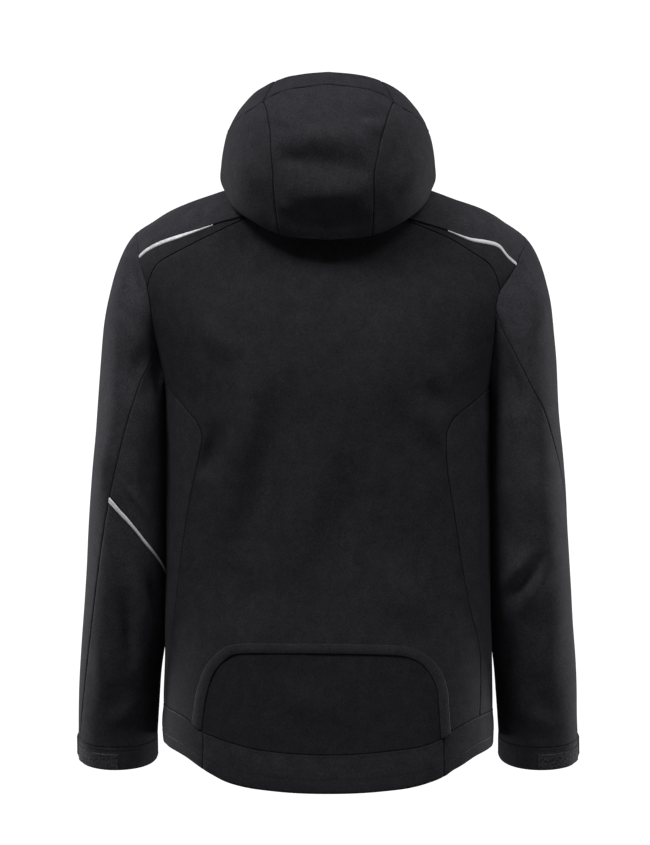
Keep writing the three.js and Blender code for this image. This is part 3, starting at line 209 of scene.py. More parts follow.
# Seams of each side, as distance from the centre and height
SIDES = {
    "left": {
        "sign": -1, "tip": 241, "tip_back": 241.5, "tip_front": 242,
        "armhole": [
            (236.5, -89.5), (231, -110), (225.5, -127), (220, -160), (214, -203), (209.5, -226), (205, -246),
        ],
        "yoke": [(104, -41.5), (135, -48.5), (176.5, -61.5), (208.5, -71.5), (226, -80), (236.5, -89.5)],
        "wedge": [
            (104, -43.5), (150, -64.5), (176, -77.5), (202, -90.5), (212.5, -98.5), (220, -109.5),
            (225.5, -127),
        ],
        "side": [
            (205, -246), (186, -268), (167.6, -288.5), (159.2, -301.4), (156.1, -314.3), (159.8, -336.4),
            (167.6, -370.8), (175.2, -408.9), (181, -445.7), (188, -499), (193, -539), (197, -573),
            (200.6, -611), (203, -650),
        ],
        "piping": [(142.6, -51), (176.5, -61.5), (208.5, -71.5), (226, -80), (235.5, -88)],
    },
    "right": {
        "sign": 1, "tip": 246, "tip_back": 249, "tip_front": 245,
        "armhole": [
            (236, -98), (224, -117), (214, -131), (210, -143), (208, -158), (205.5, -205), (202.6, -250),
        ],
        "yoke": [(99.5, -44.5), (148, -58), (175, -68), (197, -71), (212.5, -75), (224, -88), (236, -98)],
        "wedge": [(99.5, -46.5), (148, -66), (175, -82), (198, -97), (208, -112), (214, -131)],
        "side": [
            (202.6, -250), (184, -267), (159.5, -286), (148.5, -301.4), (145.3, -318), (147.2, -356),
            (153.4, -393.6), (159.5, -431), (166.9, -477.6), (178.8, -536.7), (186, -561), (190, -595.5),
            (189, -646), (188.3, -659),
        ],
        "piping": [(148, -58), (175, -68), (197, -71), (212.5, -75), (224, -88), (235, -97)],
    },
}
ARMHOLE_FRONT = [(238, -88), (226, -120), (212, -160), (203, -205), (202, -240)]
YOKE_FRONT = [(74, -20), (110, -33), (150, -47), (195, -66), (238, -88)]
NECK_BACK = [(0, -5), (20, -4.4), (40, -1.8), (56, 2)]
NECK_OVER = [(56, -0.409), (69, -0.2), (77, 0), (78.5, 0.25), (77.5, 0.5), (74, 0.682)]
NECK_FRONT = [(74, -20), (62, -40), (40, -58), (15, -68.5), (ZIP_HALF, -70)]

# Creases as seen from a given face of the jacket: rows of (across, height) along the crest, its half
# width and how far it stands out, or in where that is below nothing
FOLD_DEPTH = 3.3
FOLD_SPREAD = 1.15
CREASES = {
    "back": [
        ([(-86, -196), (-110, -330), (-138, -490)], 17, 3.5),
        ([(-137, -286), (-150, -335), (-158, -370)], 13, -2.9),
        ([(-56, -220), (-78, -350), (-104, -480)], 20, -2.6),
        ([(-4, -290), (-24, -410), (-44, -520)], 22, 2.6),
        ([(28, -330), (20, -410), (8, -500)], 18, -1.5),
        ([(126, -238), (136, -262), (146, -292)], 12, -1.4),
        ([(112, -250), (122, -290), (150, -330)], 13, 1.8),
        ([(60, -150), (84, -215), (96, -300)], 24, 1.4),
        ([(-160, -150), (-140, -190), (-108, -214)], 15, 1.5),
        ([(150, -130), (150, -190), (132, -228)], 14, -1.2),
        ([(-110, -470), (-104, -520), (-120, -560)], 16, -1.4),
        ([(70, -460), (96, -520), (128, -560)], 20, 1.3),
        ([(-60, -620), (-24, -655), (20, -668)], 16, 1.1),
    ],
    "front": [
        ([(60, -130), (70, -240), (52, -330)], 20, -1.8),
        ([(-62, -150), (-84, -260), (-80, -360)], 22, 1.9),
        ([(130, -220), (104, -300), (110, -420)], 18, 2.0),
        ([(-150, -230), (-128, -300), (-136, -380)], 16, -1.7),
        ([(40, -420), (64, -520), (58, -620)], 24, 1.4),
        ([(-34, -450), (-52, -540), (-40, -630)], 20, -1.3),
    ],
}


def mix(a, b, share):
    """The value a share of the way from a to b."""
    return a + (b - a) * share


def signed_power(value, exponent):
    """A power that keeps the sign of its base."""
    return np.sign(value) * np.abs(value) ** exponent


def smooth(value, low, high):
    """0 below low, 1 above high and a soft step between."""
    t = np.clip((value - low) / (high - low), 0, 1)
    return t * t * (3 - 2 * t)


def unit(vectors):
    """Vectors divided by their lengths."""
    return vectors / np.linalg.norm(vectors, axis=-1, keepdims=True)


def bell(distance, width):
    """1 at no distance, falling off as the exponential of less the square of distance over width."""
    return np.exp(-((distance / width) ** 2))


def column(of, over, name, at):
    """One column of a table read smoothly over another: cubic pieces whose end slopes are those of the
    chord between the rows on both sides, held still beyond the first and last row."""
    x, y = of[over], of[name]
    if x[-1] < x[0]:
        x, y = x[::-1], y[::-1]
    before = np.maximum(np.arange(len(x)) - 1, 0)
    after = np.minimum(np.arange(len(x)) + 1, len(x) - 1)
    slope = (y[after] - y[before]) / (x[after] - x[before])
    i = np.clip(np.searchsorted(x, at, side="right") - 1, 0, len(x) - 2)
    span = x[i + 1] - x[i]
    u = np.clip((at - x[i]) / span, 0, 1)
    ease = u * u * (3 - 2 * u)
    bend = u * (1 - u) ** 2 * slope[i] - u * u * (1 - u) * slope[i + 1]
    return y[i] * (1 - ease) + y[i + 1] * ease + span * bend


def spline(rows, count=600):
    """A curve through all rows: each cubic piece leaves a row along half the difference of its neighbours."""
    rows = np.asarray(rows, float)
    last = len(rows) - 1
    t = np.linspace(0, last, count)
    i = np.clip(np.floor(t).astype(int), 0, last - 1)
    before, after = rows[np.maximum(i - 1, 0)], rows[np.minimum(i + 2, last)]
    return between_rows(before, rows[i], rows[i + 1], after, (t - i)[:, None])


def between_rows(p0, p1, p2, p3, w):
    """The cubic from p1 to p2 with slopes (p2 - p0) / 2 and (p3 - p1) / 2, at the share w."""
    v0, v1 = (p2 - p0) / 2, (p3 - p1) / 2
    return (2 * p1 - 2 * p2 + v0 + v1) * w**3 + (3 * p2 - 3 * p1 - 2 * v0 - v1) * w**2 + v0 * w + p1


def run_of(points, axis=0):
    """The summed length along a line or the lines of a grid, from their start to each point."""
    steps = np.linalg.norm(np.diff(points, axis=axis), axis=-1)
    return np.insert(np.cumsum(steps, axis=axis), 0, 0, axis=axis)


def read_at(wanted, run, values):
    """Rows of values, read straight between their neighbours at the wanted places of a run."""
    return np.stack([np.interp(wanted, run, values[:, k]) for k in range(values.shape[1])], -1)


def along(line, shares):
    """Points of a line at shares of its number of steps."""
    return read_at(shares, np.linspace(0, 1, len(line)), line)


def even(points, count):
    """The same line in points at equal lengths."""
    run = run_of(points)
    return read_at(np.linspace(0, run[-1], count), run, points)


def smooth_line(rows, steps):
    """A smooth line through rows, in points at equal lengths."""
    return even(spline(rows), steps * FINE + 1)


def stretch_of(rows, start, end, steps):
    """The part of a smooth line between two of its rows."""
    last = len(rows) - 1
    return along(spline(rows, 2000), np.linspace(start / last, end / last, steps * FINE + 1))


def joined(*lines):
    """Lines end to end, without the doubled points."""
    return np.vstack([lines[0]] + [line[1:] for line in lines[1:]])


def patch(top, bottom, left, right, u, v):
    """Grid between four lines: the two ruled grids added, less the grid of the four corners."""
    across, down = u[None, :, None], v[:, None, None]
    sides = mix(along(left, v)[:, None], along(right, v)[:, None], across)
    ends = mix(along(top, u)[None], along(bottom, u)[None], down)
    corners = mix(mix(top[0], top[-1], across), mix(bottom[0], bottom[-1], across), down)
    return sides + ends - corners


EDGE = np.array([0.0, 0.35, 0.9, 1.7, 2.7, 3.9, 5.2, 6.5, 8.0])


def shares(length, step, start=0.0):
    """Shares from one edge to the other, close together beside the edges and a step apart between."""
    low, high = start + EDGE, length - EDGE[::-1]
    count = max(int(round((high[0] - low[-1]) / step)), 2)
    return np.concatenate([low[:-1], np.linspace(low[-1], high[0], count + 1), high[1:]]) / length


def panel_shares(name, step, start=0.0):
    """Shares across and down a panel of its rough size."""
    width, length = PANELS[name]
    return shares(width, step, start), shares(length, step)


# Torso
def shoulder_z(x):
    """Height of the shoulder line over the distance from the centre."""
    return column(SHOULDER, "x", "z", np.abs(x))


def torso(places):
    """Torso surface over (angle, z): at each height a superellipse, whose depth closes in to the shoulder
    line as the rounded share of the drop below it."""
    angle, z = places[..., 0], places[..., 1]
    half = column(TORSO, "z", "half", z)
    sine, cosine = np.sin(np.radians(angle)), np.cos(np.radians(angle))
    x = half * signed_power(sine, 2 / TORSO_POWER)
    drop = np.clip((shoulder_z(x) - z) / SHOULDER_ROUND, 0, 1)
    rounded = (1 - (1 - drop) ** SHOULDER_POWER) ** (1 / SHOULDER_POWER)
    depth = np.where(cosine > 0, column(TORSO, "z", "back", z), column(TORSO, "z", "front", z))
    y = column(TORSO, "z", "side", z) - depth * rounded * signed_power(cosine, 2 / TORSO_POWER)
    return np.stack([x, y, z], -1)


def place(rows, front=False):
    """Torso places (angle, z) of rows of (x, z)."""
    x, z = np.moveaxis(np.asarray(rows, float), -1, 0)
    half = column(TORSO, "z", "half", z)
    angle = np.degrees(np.arcsin(np.minimum(np.abs(x) / half, 1) ** (TORSO_POWER / 2)))
    return np.stack([np.where(x < 0, -1, 1) * (180 - angle if front else angle), z], -1)


def over_place(places):
    """Torso places as (x, lean), with the lean 0 on the shoulder line and -1 or 1 at the round's foot."""
    angle, z = places[..., 0], places[..., 1]
    x = column(TORSO, "z", "half", z) * np.abs(np.sin(np.radians(angle))) ** (2 / TORSO_POWER)
    drop = np.maximum(shoulder_z(x) - z, 0) / SHOULDER_ROUND
    return np.stack([x, np.where(np.abs(angle) > 90, 1, -1) * drop ** (1 / SHOULDER_POWER)], -1)


def from_over(spots):
    """Torso places of (x, lean)."""
    x, lean = spots[..., 0], spots[..., 1]
    z = shoulder_z(x) - SHOULDER_ROUND * np.abs(lean) ** SHOULDER_POWER
    back, front = place(np.stack([x, z], -1)), place(np.stack([x, z], -1), True)
    return np.where((lean > 0)[..., None], front, back)


def hem(angles, name="top"):
    """Places on the hem band's top seam or lower edge at angles from the centre back."""
    return np.stack([angles, column(HEM, "angle", name, angles)], -1)


def armhole_of(shape):
    """Lines of the armhole between the seams that meet it: two over the shoulder, the rest on the torso."""
    back = np.vstack([place(shape["armhole"]), [90, ARMPIT_Z]])
    front = np.vstack([place(ARMHOLE_FRONT, True), [90, ARMPIT_Z]])

    def over(bulge, corner):
        end = over_place(corner)
        return smooth_line([(shape["tip"], 0), (bulge, end[1] / 2), end], 3)

    return {
        "over_back": over(shape["tip_back"], back[0]),
        "over_front": over(shape["tip_front"], front[0]),
        "wedge": stretch_of(back, 0, 2, 2),
        "back": joined(stretch_of(back, 2, 4, 3), stretch_of(back, 4, 6, 3)),
        "side_back": stretch_of(back, 6, len(back) - 1, 2),
        "front": stretch_of(front, 0, len(front) - 2, 6),
        "side_front": stretch_of(front, len(front) - 2, len(front) - 1, 2),
    }


def seams_of(shape):
    """Seam lines that the panels of one side share."""
    sign = shape["sign"]
    hole = armhole_of(shape)
    foot_angle = place(shape["side"][-1])[0]
    side_rows = np.vstack([place(shape["side"])[:-1], [foot_angle, hem(sign * foot_angle)[1]]])
    share = np.linspace(0, 1, 13 * FINE + 1)
    top = hole["side_front"][0]
    front_foot = hem(np.array(sign * SIDE_FRONT_ANGLE))[1]
    front_seam = np.stack([
        mix(top[0], SIDE_FRONT_ANGLE, np.minimum(share * 3, 1) ** 0.7), mix(top[1], front_foot, share)], -1)
    return {
        "hole": hole,
        "foot_angle": foot_angle,
        "neck_back": place(smooth_line(NECK_BACK, 4)),
        "neck_over": smooth_line(NECK_OVER, 6),
        "neck_front": place(smooth_line(NECK_FRONT, 3), True),
        "stub": place(smooth_line([(56, 2), shape["yoke"][0]], 1)),
        "yoke": place(smooth_line(shape["yoke"], 6)),
        "wedge": place(smooth_line(shape["wedge"], 6)),
        "side": smooth_line(side_rows, 13),
        "front": front_seam,
    }


SEAMS = {side: seams_of(shape) for side, shape in SIDES.items()}


def turned(line, sign):
    """Torso places with their angles times the sign of their side."""
    return line * np.array([sign, 1.0])


def back_places(u, v):
    """Torso places of the whole back, from the neck and wedge seams to the hem."""
    left, right = SEAMS["left"], SEAMS["right"]

    def half(s):
        return joined(s["wedge"][::-1], s["stub"][::-1], s["neck_back"][::-1])

    top = joined(turned(half(left), -1), half(right)[::-1])
    left_edge = turned(joined(left["hole"]["back"], left["side"]), -1)
    right_edge = joined(right["hole"]["back"], right["side"])
    bottom = hem(np.linspace(-left["foot_angle"], right["foot_angle"], len(top)))
    return patch(top, bottom, left_edge, right_edge, u, v)


# Sleeves, drawn for the right and mirrored for the left
def sleeve_section(row, angle):
    """Sleeve surface below the armhole: a superellipse at each row, pitched forward."""
    z, inner, outer, y, deep, pitch = (
        column(SLEEVE, "row", name, row) for name in ("z", "inner", "outer", "y", "deep", "pitch"))
    inner = inner - SLEEVE_LEAN * smooth(4.8 - row, 0, 0.8)
    wide = signed_power(np.cos(np.radians(angle)), 2 / SLEEVE_POWER) * (outer - inner) / 2
    back = signed_power(np.sin(np.radians(angle)), 2 / SLEEVE_POWER) * deep
    tilt = np.radians(pitch)
    return np.stack([(outer + inner) / 2 + wide, y - back * np.cos(tilt), z - back * np.sin(tilt)], -1)


def armhole_loop(s):
    """The armhole as points with sleeve angles: 0 at the shoulder tip and 180 at the armpit, both ways."""
    hole = s["hole"]

    def measure(over, *lines):
        points = np.vstack([torso(from_over(over)), torso(joined(*lines))[1:]])
        run = run_of(points)
        return {"points": points, "angles": 180 * run / run[-1]}

    back = measure(hole["over_back"], hole["wedge"], hole["back"], hole["side_back"])
    front = measure(hole["over_front"], hole["front"], hole["side_front"])
    return {"back": back, "front": front, "seam": back["angles"][(3 + 2 + 3) * FINE]}


def loop_point(loop, angle):
    """Point of the armhole at a sleeve angle."""
    turn = (angle + 180) % 360 - 180
    size = np.abs(turn)

    back, front = (read_at(size, loop[part]["angles"], loop[part]["points"]) for part in ("back", "front"))
    return np.where((turn >= 0)[..., None], back, front)


def sleeve_point(loop, down, angle):
    """Sleeve surface: down 0 is the armhole, 1 the first row of the table and so on. Between the two a
    cubic leaves the armhole outwards and down and arrives along the arm."""
    down, angle = np.broadcast_arrays(down, angle)
    section = sleeve_section(np.maximum(down - 1, 0), angle)
    cosine, sine = np.cos(np.radians(angle)), np.sin(np.radians(angle))
    leave = unit(np.stack([
        HEAD_OUT[0] + HEAD_OUT[1] * cosine, HEAD_BACK * sine, HEAD_DOWN[0] + HEAD_DOWN[1] * cosine], -1))
    start = loop_point(loop, angle)
    end = sleeve_section(np.zeros_like(angle), angle)
    onward = unit(sleeve_section(np.full_like(angle, 0.2), angle) - end)
    length = np.linalg.norm(end - start, axis=-1, keepdims=True)
    u = np.clip(down, 0, 1)[..., None]
    ease = u * u * (3 - 2 * u)
    pull = leave * HEAD_PULL * length * u * (1 - u) ** 2
    top = mix(start, end, ease) + pull - onward * length * u * u * (1 - u)
    return np.where((down >= 1)[..., None], section, top)


def sleeve_angle(loop, side, part, down, share):
    """Angle round the sleeve at a share of one part's width: between the back seam and the front seam."""
    blend = np.clip(down, 0, 1)
    seam = np.where(down >= 1, column(SLEEVE, "row", side, np.maximum(down - 1, 0)),
                    column(SLEEVE_TOP_SEAM, "share", side, blend))
    back = (loop["seam"] - SLEEVE_TOP_SEAM[side][0]) * (1 - blend) + seam
    if part == "outer":
        return mix(SLEEVE_FRONT_SEAM, back, share)
    return mix(back, SLEEVE_FRONT_SEAM + 360, share)


def elbow_row(share):
    """Row of the left elbow seam over the share of the under part's width."""
    return mix(*ELBOW_SEAM, np.minimum(share / ELBOW_LEVEL, 1) ** ELBOW_BEND)


# Hood
def neck_table(s):
    """The neck seam as angle, reach and height round the neck's axis."""
    points = np.vstack([
        torso(s["neck_back"]), torso(from_over(s["neck_over"]))[1:], torso(s["neck_front"])[1:]])
    points = points[:: FINE // 2]
    return {
        "angle": np.degrees(np.arctan2(points[:, 0], -points[:, 1])),
        "reach": np.hypot(points[:, 0], points[:, 1]),
        "z": points[:, 2],
    }


NECK = neck_table(SEAMS["right"])


def hood_point(angle, share):
    """Hood surface: at each angle a smooth profile from the neck seam through the underside, the bag's
    bottom, its bulge and its upper side to the rim."""
    angle, share = np.broadcast_arrays(angle, share)
    size = np.abs(angle)
    reach = [column(NECK, "angle", "reach", size)]
    height = [column(NECK, "angle", "z", size) + SEAM_GAP * 1.8]
    for stage in HOOD_STAGES:
        reach.append(column(HOOD, "angle", f"{stage}_reach", size))
        height.append(column(HOOD, "angle", f"{stage}_z", size))
    rows = np.stack([np.stack(reach), np.stack(height)], -1)
    last = len(reach) - 1
    t = np.clip(share, 0, 1) * last
    i = np.clip(np.floor(t).astype(int), 0, last - 1)
    pick = [np.take_along_axis(rows, np.clip(i + k, 0, last)[None, ..., None], 0)[0] for k in (-1, 0, 1, 2)]
    profile = between_rows(*pick, (t - i)[..., None])
    turn = np.radians(angle)
    return np.stack([profile[..., 0] * np.sin(turn), -profile[..., 0] * np.cos(turn), profile[..., 1]], -1)


def hood_seam_angle(side, share):
    """Angle of the seam between the hood's centre and a side, drawn to the neck's own mark at its foot."""
    mark = NECK["angle"][NECK_MARK]
    angle = column(HOOD_SEAM, "share", side, np.minimum(share, HOOD_SEAM_END))
    start = column(HOOD_SEAM, "share", side, np.array(0.0))
    return angle + (mark - start) * np.maximum(0, 1 - share / HOOD_SEAM_FOOT)


def band_start(angle):
    """Share of the hood's profile at which the edge band begins."""
    return column(HOOD, "angle", "band", np.abs(angle))


HOOD_FRONT = 180 - float(np.degrees(np.arcsin(ZIP_HALF / 69)))


# Cloth
def normals_of(grid, closed=False):
    """Unit normals of a grid from the differences along both of its directions."""
    if closed:
        across = np.roll(grid, -1, axis=1) - np.roll(grid, 1, axis=1)
    else:
        across = np.gradient(grid, axis=1)
    normal = np.cross(across, np.gradient(grid, axis=0))
    return normal / np.maximum(np.linalg.norm(normal, axis=-1, keepdims=True), 1e-9)


def outward_normals(grid, outward, closed=False):
    """Normals turned to the side that the middle point's outward direction shows."""
    normal = normals_of(grid, closed)
    j, i = grid.shape[0] // 2, grid.shape[1] // 2
    return normal * (np.sign(np.dot(normal[j, i], outward(grid[j, i]))) or 1.0)


def edge_distances(grid):
    """Lengths over the grid from each point to its top, bottom, left and right edge."""
    across, down = run_of(grid, 1), run_of(grid, 0)
    return {"top": down, "bottom": down[-1:] - down, "left": across, "right": across[:, -1:] - across}


def rolled(distance, depth, width):
    """How far an edge sinks: a quarter round of the given depth and width."""
    t = np.clip(1 - distance / width, 0, 1)
    return depth * (1 - np.sqrt(1 - t * t))


def seen_from(face, points):
    """Where points stand as (across, height) to an eye before the back or the front."""
    side = -1 if face == "back" else 1
    scale = EYE_DISTANCE / (EYE_DISTANCE - side * points[..., 1])
    across = (points[..., 0] - EYE[0]) * scale + EYE[0]
    return np.stack([across, (points[..., 2] - EYE[1]) * scale + EYE[1]], -1)


def near_line(spots, line):
    """Distance from each spot to a line of points, and the share along it of the nearest point."""
    start, step = line[:-1], np.diff(line, axis=0)
    away = spots[..., None, :] - start
    t = np.clip((away * step).sum(-1) / (step**2).sum(-1), 0, 1)
    distance = np.linalg.norm(away - t[..., None] * step, axis=-1)
    k = distance.argmin(-1)
    share = (k + np.take_along_axis(t, k[..., None], -1)[..., 0]) / len(step)
    return np.take_along_axis(distance, k[..., None], -1)[..., 0], share


def creased(points, normals, creases):
    """Height of the listed creases: each a soft bell across its crest that fades to both ends."""
    height = np.zeros(points.shape[:-1])
    for face, rows in creases.items():
        toward = -normals[..., 1] if face == "back" else normals[..., 1]
        spots = seen_from(face, points)
        facing = smooth(toward, 0.02, 0.5)
        for crest, width, rise in rows:
            distance, share = near_line(spots, spline(crest, 12))
            fade = smooth(share, 0, 0.5) * smooth(1 - share, 0, 0.5)
            height += FOLD_DEPTH * rise * facing * fade * bell(distance, FOLD_SPREAD * width)
    return height


WAVES = table("x y z phase height", [
    (0.031, 0.012, 0.019, 0.4, 0.32), (-0.022, 0.024, 0.034, 2.1, 0.30), (0.045, -0.017, -0.021, 4.0, 0.22),
    (0.016, 0.041, -0.047, 5.2, 0.20), (0.071, 0.035, 0.025, 1.3, 0.12), (-0.058, 0.052, 0.068, 3.3, 0.11),
])


def wavering(points):
    """Slight unevenness of the cloth: a sum of slow waves through space."""
    height = np.zeros(points.shape[:-1])
    for x, y, z, phase, size in zip(*(WAVES[name] for name in ("x", "y", "z", "phase", "height"))):
        bend = 0.8 * np.sin(points[..., 2] * x * 0.6 + phase)
        height += size * np.sin(points[..., 0] * x + points[..., 1] * y + points[..., 2] * z + phase + bend)
    return height


def puckered(distances, edges):
    """Small gathers beside the seams: waves along each edge that die out a few millimetres into the cloth."""
    height = 0.0
    pairs = {"top": "left", "bottom": "left", "left": "top", "right": "top"}
    for edge, size in edges.items():
        run = distances[pairs[edge]]
        swell = 0.55 + 0.45 * np.sin(run / GATHER_SWELL + 1.1)
        wave = np.sin(run / GATHER_STEP + 1.7 * np.sin(run / GATHER_DRIFT)) * swell
        height = height + size * wave * np.exp(-distances[edge] / GATHER_REACH)
    return height


def mesh_object(name, points, faces):
    """A mesh object at the origin from points in millimetres and faces of four corners."""
    mesh = bpy.data.meshes.new(name)
    mesh.vertices.add(len(points))
    mesh.vertices.foreach_set("co", (np.asarray(points) * MM).astype(np.float32).ravel())
    mesh.loops.add(faces.size)
    mesh.loops.foreach_set("vertex_index", faces.astype(np.int32).ravel())
    mesh.polygons.add(len(faces))
    mesh.polygons.foreach_set("loop_start", np.arange(0, faces.size, faces.shape[1], dtype=np.int32))
    mesh.update(calc_edges=True)
    mesh.validate()
    mesh.shade_smooth()
    mesh.set_sharp_from_angle(angle=np.radians(48))
    piece = bpy.data.objects.new(name, mesh)
    bpy.context.scene.collection.objects.link(piece)
    return piece


def shell_faces(rows, columns, closed=False, keep=None):
    """Faces of a closed shell over two layers of the same grid: both layers, and a wall along each edge
    that only one face uses. keep says which squares of the grid are there."""
    spans = columns if closed else columns - 1
    j, i = np.meshgrid(np.arange(rows - 1), np.arange(spans), indexing="ij")
    after = (i + 1) % columns
    here, below = j * columns, (j + 1) * columns
    quads = np.stack([here + i, below + i, below + after, here + after], -1)
    quads = quads[keep] if keep is not None else quads.reshape(-1, 4)
    starts, ends = quads.ravel(), np.roll(quads, -1, axis=1).ravel()
    size = rows * columns
    forward, backward = starts * size + ends, ends * size + starts
    open_edge = ~np.isin(forward, backward)
    walls = np.stack([ends, starts, starts + size, ends + size], -1)[open_edge]
    return np.vstack([quads, quads[:, ::-1] + size, walls])


def faces_out(points, faces):
    """The faces, turned over if their volume is below nothing."""
    a, b, c, d = (points[faces[:, k]] for k in range(4))
    volume = (a * np.cross(b, c)).sum() + (a * np.cross(c, d)).sum()
    return faces if volume > 0 else faces[:, ::-1]


def seam_shade(surface, closed=False):
    """How near each point of a grid lies to a seam, as the weight of the shade painted there: 1 on it, close
    to 0 a few millimetres away.
    """
    distances = edge_distances(surface)
    edges = ("top", "bottom") if closed else ("top", "bottom", "left", "right")
    nearest = np.minimum.reduce([distances[edge] for edge in edges])
    return bell(nearest, SHADE_WIDTH)


def shell(name, outer, inner, closed=False, keep=None, shade=None):
    """A closed shell between two grids, with the weight of its painted seam shade kept on its points where it
    is given.
    """
    points = np.vstack([outer.reshape(-1, 3), inner.reshape(-1, 3)])
    faces = shell_faces(outer.shape[0], outer.shape[1], closed, keep)
    used = np.unique(faces)
    index = np.zeros(len(points), int)
    index[used] = np.arange(len(used))
    piece = mesh_object(name, points[used], faces_out(points[used], index[faces]))
    if shade is not None:
        values = np.tile(shade.ravel(), 2)[used].astype(np.float32)
        piece.data.attributes.new("seam_shade", "FLOAT", "POINT").data.foreach_set("value", values)
    return piece


def cloth_surface(grid, outward, rolls, *, folds=None, bulge=0.0, pucker=0.25, grooves=None, closed=False):
    """The cloth's outer face over a plain grid: the grid moved along its normals by the creases, waves,
    gathers and bulge, less the rolled edges and the grooves that topstitching pulls in."""
    normal = outward_normals(grid, outward, closed)
    distances = edge_distances(grid)
    height = wavering(grid) + bulge * np.sin(np.pi * np.linspace(0, 1, grid.shape[0]))[:, None]
    if folds:
        height += creased(grid, normal, folds)
    if not closed:
        inside = np.minimum.reduce([distances[edge] for edge in ("top", "bottom", "left", "right")])
        height *= smooth(inside, *CALM_EDGE)
    height += puckered(distances, {edge: pucker for edge in rolls})
    for edge, (depth, width) in rolls.items():
        height -= rolled(distances[edge], depth, width)
    for edge, away in (grooves or {}).items():
        height -= GROOVE_DEPTH * bell(distances[edge] - away, GROOVE_WIDTH)
    return grid + normal * height[..., None], normal


STITCH_ROWS = []


def sew_along(surface, normal, edge, away):
    """Keeps a row of topstitching a given distance inside one edge: on each line that leaves the edge, the
    point at that length."""
    if edge in ("bottom", "right"):
        axis_flip = 0 if edge == "bottom" else 1
        surface, normal = np.flip(surface, axis_flip), np.flip(normal, axis_flip)
    if edge in ("left", "right"):
        surface, normal = surface.swapaxes(0, 1), normal.swapaxes(0, 1)
    run = run_of(surface)
    after = np.clip((run >= away).argmax(0), 1, None)
    i = np.arange(surface.shape[1])
    share = ((away - run[after - 1, i]) / (run[after, i] - run[after - 1, i]))[:, None]
    STITCH_ROWS.append((mix(surface[after - 1, i], surface[after, i], share), normal[after, i]))


def sizes():
    """The sizes that the sidebar shows."""
    return bpy.context.scene.jacket_sizes


def colours():
    """The colours that the sidebar shows."""
    return bpy.context.scene.jacket_colours


def dress(piece, node, material):
    """Puts a finished piece in its CAD node's place: it rides on the jacket and takes a material."""
    piece.data.materials.append(material)
    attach(piece, "jacket")
    if node:
        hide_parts(node)


def away_from_axis(point):
    """Outwards from the body's upright axis."""
    return np.array([point[0], point[1], 0.0])


def upwards(_point):
    """Straight up."""
    return np.array([0.0, 0.0, 1.0])


def up_and_back(point):
    """Up and away from the body, for the shoulders' slopes."""
    return np.array([0.0, point[1], 60.0])


def from_sleeve(sign):
    """Outwards from the middle of a sleeve."""

    def outward(point):
        middle = (column(SLEEVE, "z", "inner", point[2]) + column(SLEEVE, "z", "outer", point[2])) / 2
        return np.array([point[0] - sign * middle, point[1] - column(SLEEVE, "z", "y", point[2]), 0.0])

    return outward


def sided(grid, sign):
    """The grid as drawn for the right, or mirrored for the left."""
    return grid * np.array([sign, 1.0, 1.0])


# Finishes
def shader_material(name, roughness, metallic=0.0, specular=0.2, sheen=0.0):
    """A material with its even values on the shader's own sockets, and the object's own coordinates."""
    material = bpy.data.materials.new(name)
    material.use_nodes = True
    nodes, links = material.node_tree.nodes, material.node_tree.links
    shader = nodes["Principled BSDF"]
    shader.inputs["Roughness"].default_value = roughness
    shader.inputs["Metallic"].default_value = metallic
    shader.inputs["Specular IOR Level"].default_value = specular
    shader.inputs["Sheen Weight"].default_value = sheen
    shader.inputs["Sheen Roughness"].default_value = 0.45
    place_node = nodes.new("ShaderNodeTexCoord")
    return material, nodes, links, shader, place_node.outputs["Object"]


def noise_of(nodes, links, source, scale, detail=3.0, rough=0.5, stretch=None):
    """Noise through space at a scale, drawn out along an axis where stretch is given."""
    if stretch:
        mapping = nodes.new("ShaderNodeMapping")
        mapping.inputs["Scale"].default_value = stretch
        links.new(source, mapping.inputs["Vector"])
        source = mapping.outputs["Vector"]
    noise = nodes.new("ShaderNodeTexNoise")
    noise.inputs["Scale"].default_value = scale
    noise.inputs["Detail"].default_value = detail
    noise.inputs["Roughness"].default_value = rough
    links.new(source, noise.inputs["Vector"])
    return noise.outputs["Fac"]


def ramp_of(nodes, links, source, low, high, at=(0.35, 0.65)):
    """A colour ramp between two colours."""
    ramp = nodes.new("ShaderNodeValToRGB")
    for element, position, colour in zip(ramp.color_ramp.elements, at, (low, high)):
        element.position = position
        element.color = (*colour, 1.0)
    links.new(source, ramp.inputs["Fac"])
    return ramp.outputs["Color"]


def multiplied(nodes, links, first, second):
    """Two colours multiplied."""
    blend = nodes.new("ShaderNodeMix")
    blend.data_type = "RGBA"
    blend.blend_type = "MULTIPLY"
    blend.inputs["Factor"].default_value = 1.0
    links.new(first, blend.inputs["A"])
    links.new(second, blend.inputs["B"])
    return blend.outputs["Result"]


def bumped(nodes, links, shader, heights):
    """Relief from a chain of (height, strength, depth in metres)."""
    last = None
    for height, strength, depth in heights:
        bump = nodes.new("ShaderNodeBump")
        bump.inputs["Strength"].default_value = strength
        bump.inputs["Distance"].default_value = depth
        links.new(height, bump.inputs["Height"])
        if last:
            links.new(last, bump.inputs["Normal"])
        last = bump.outputs["Normal"]
    links.new(last, shader.inputs["Normal"])


def scaled(colour, share):
    """A colour made lighter or darker."""
    return tuple(min(value * share, 1.0) for value in colour)


# Fields of the cloth as scale, detail and roughness
FLECK = (620.0, 2.0, 0.6)
CLOUD = (58.0, 7.0, 0.7)
SLUB = (90.0, 4.0, 0.55)
KNIT = (1500.0, 1.0, 0.5)
KNIT_STRETCH = (1.0, 1.0, 1.6)
WHITE = (1.0, 1.0, 1.0)


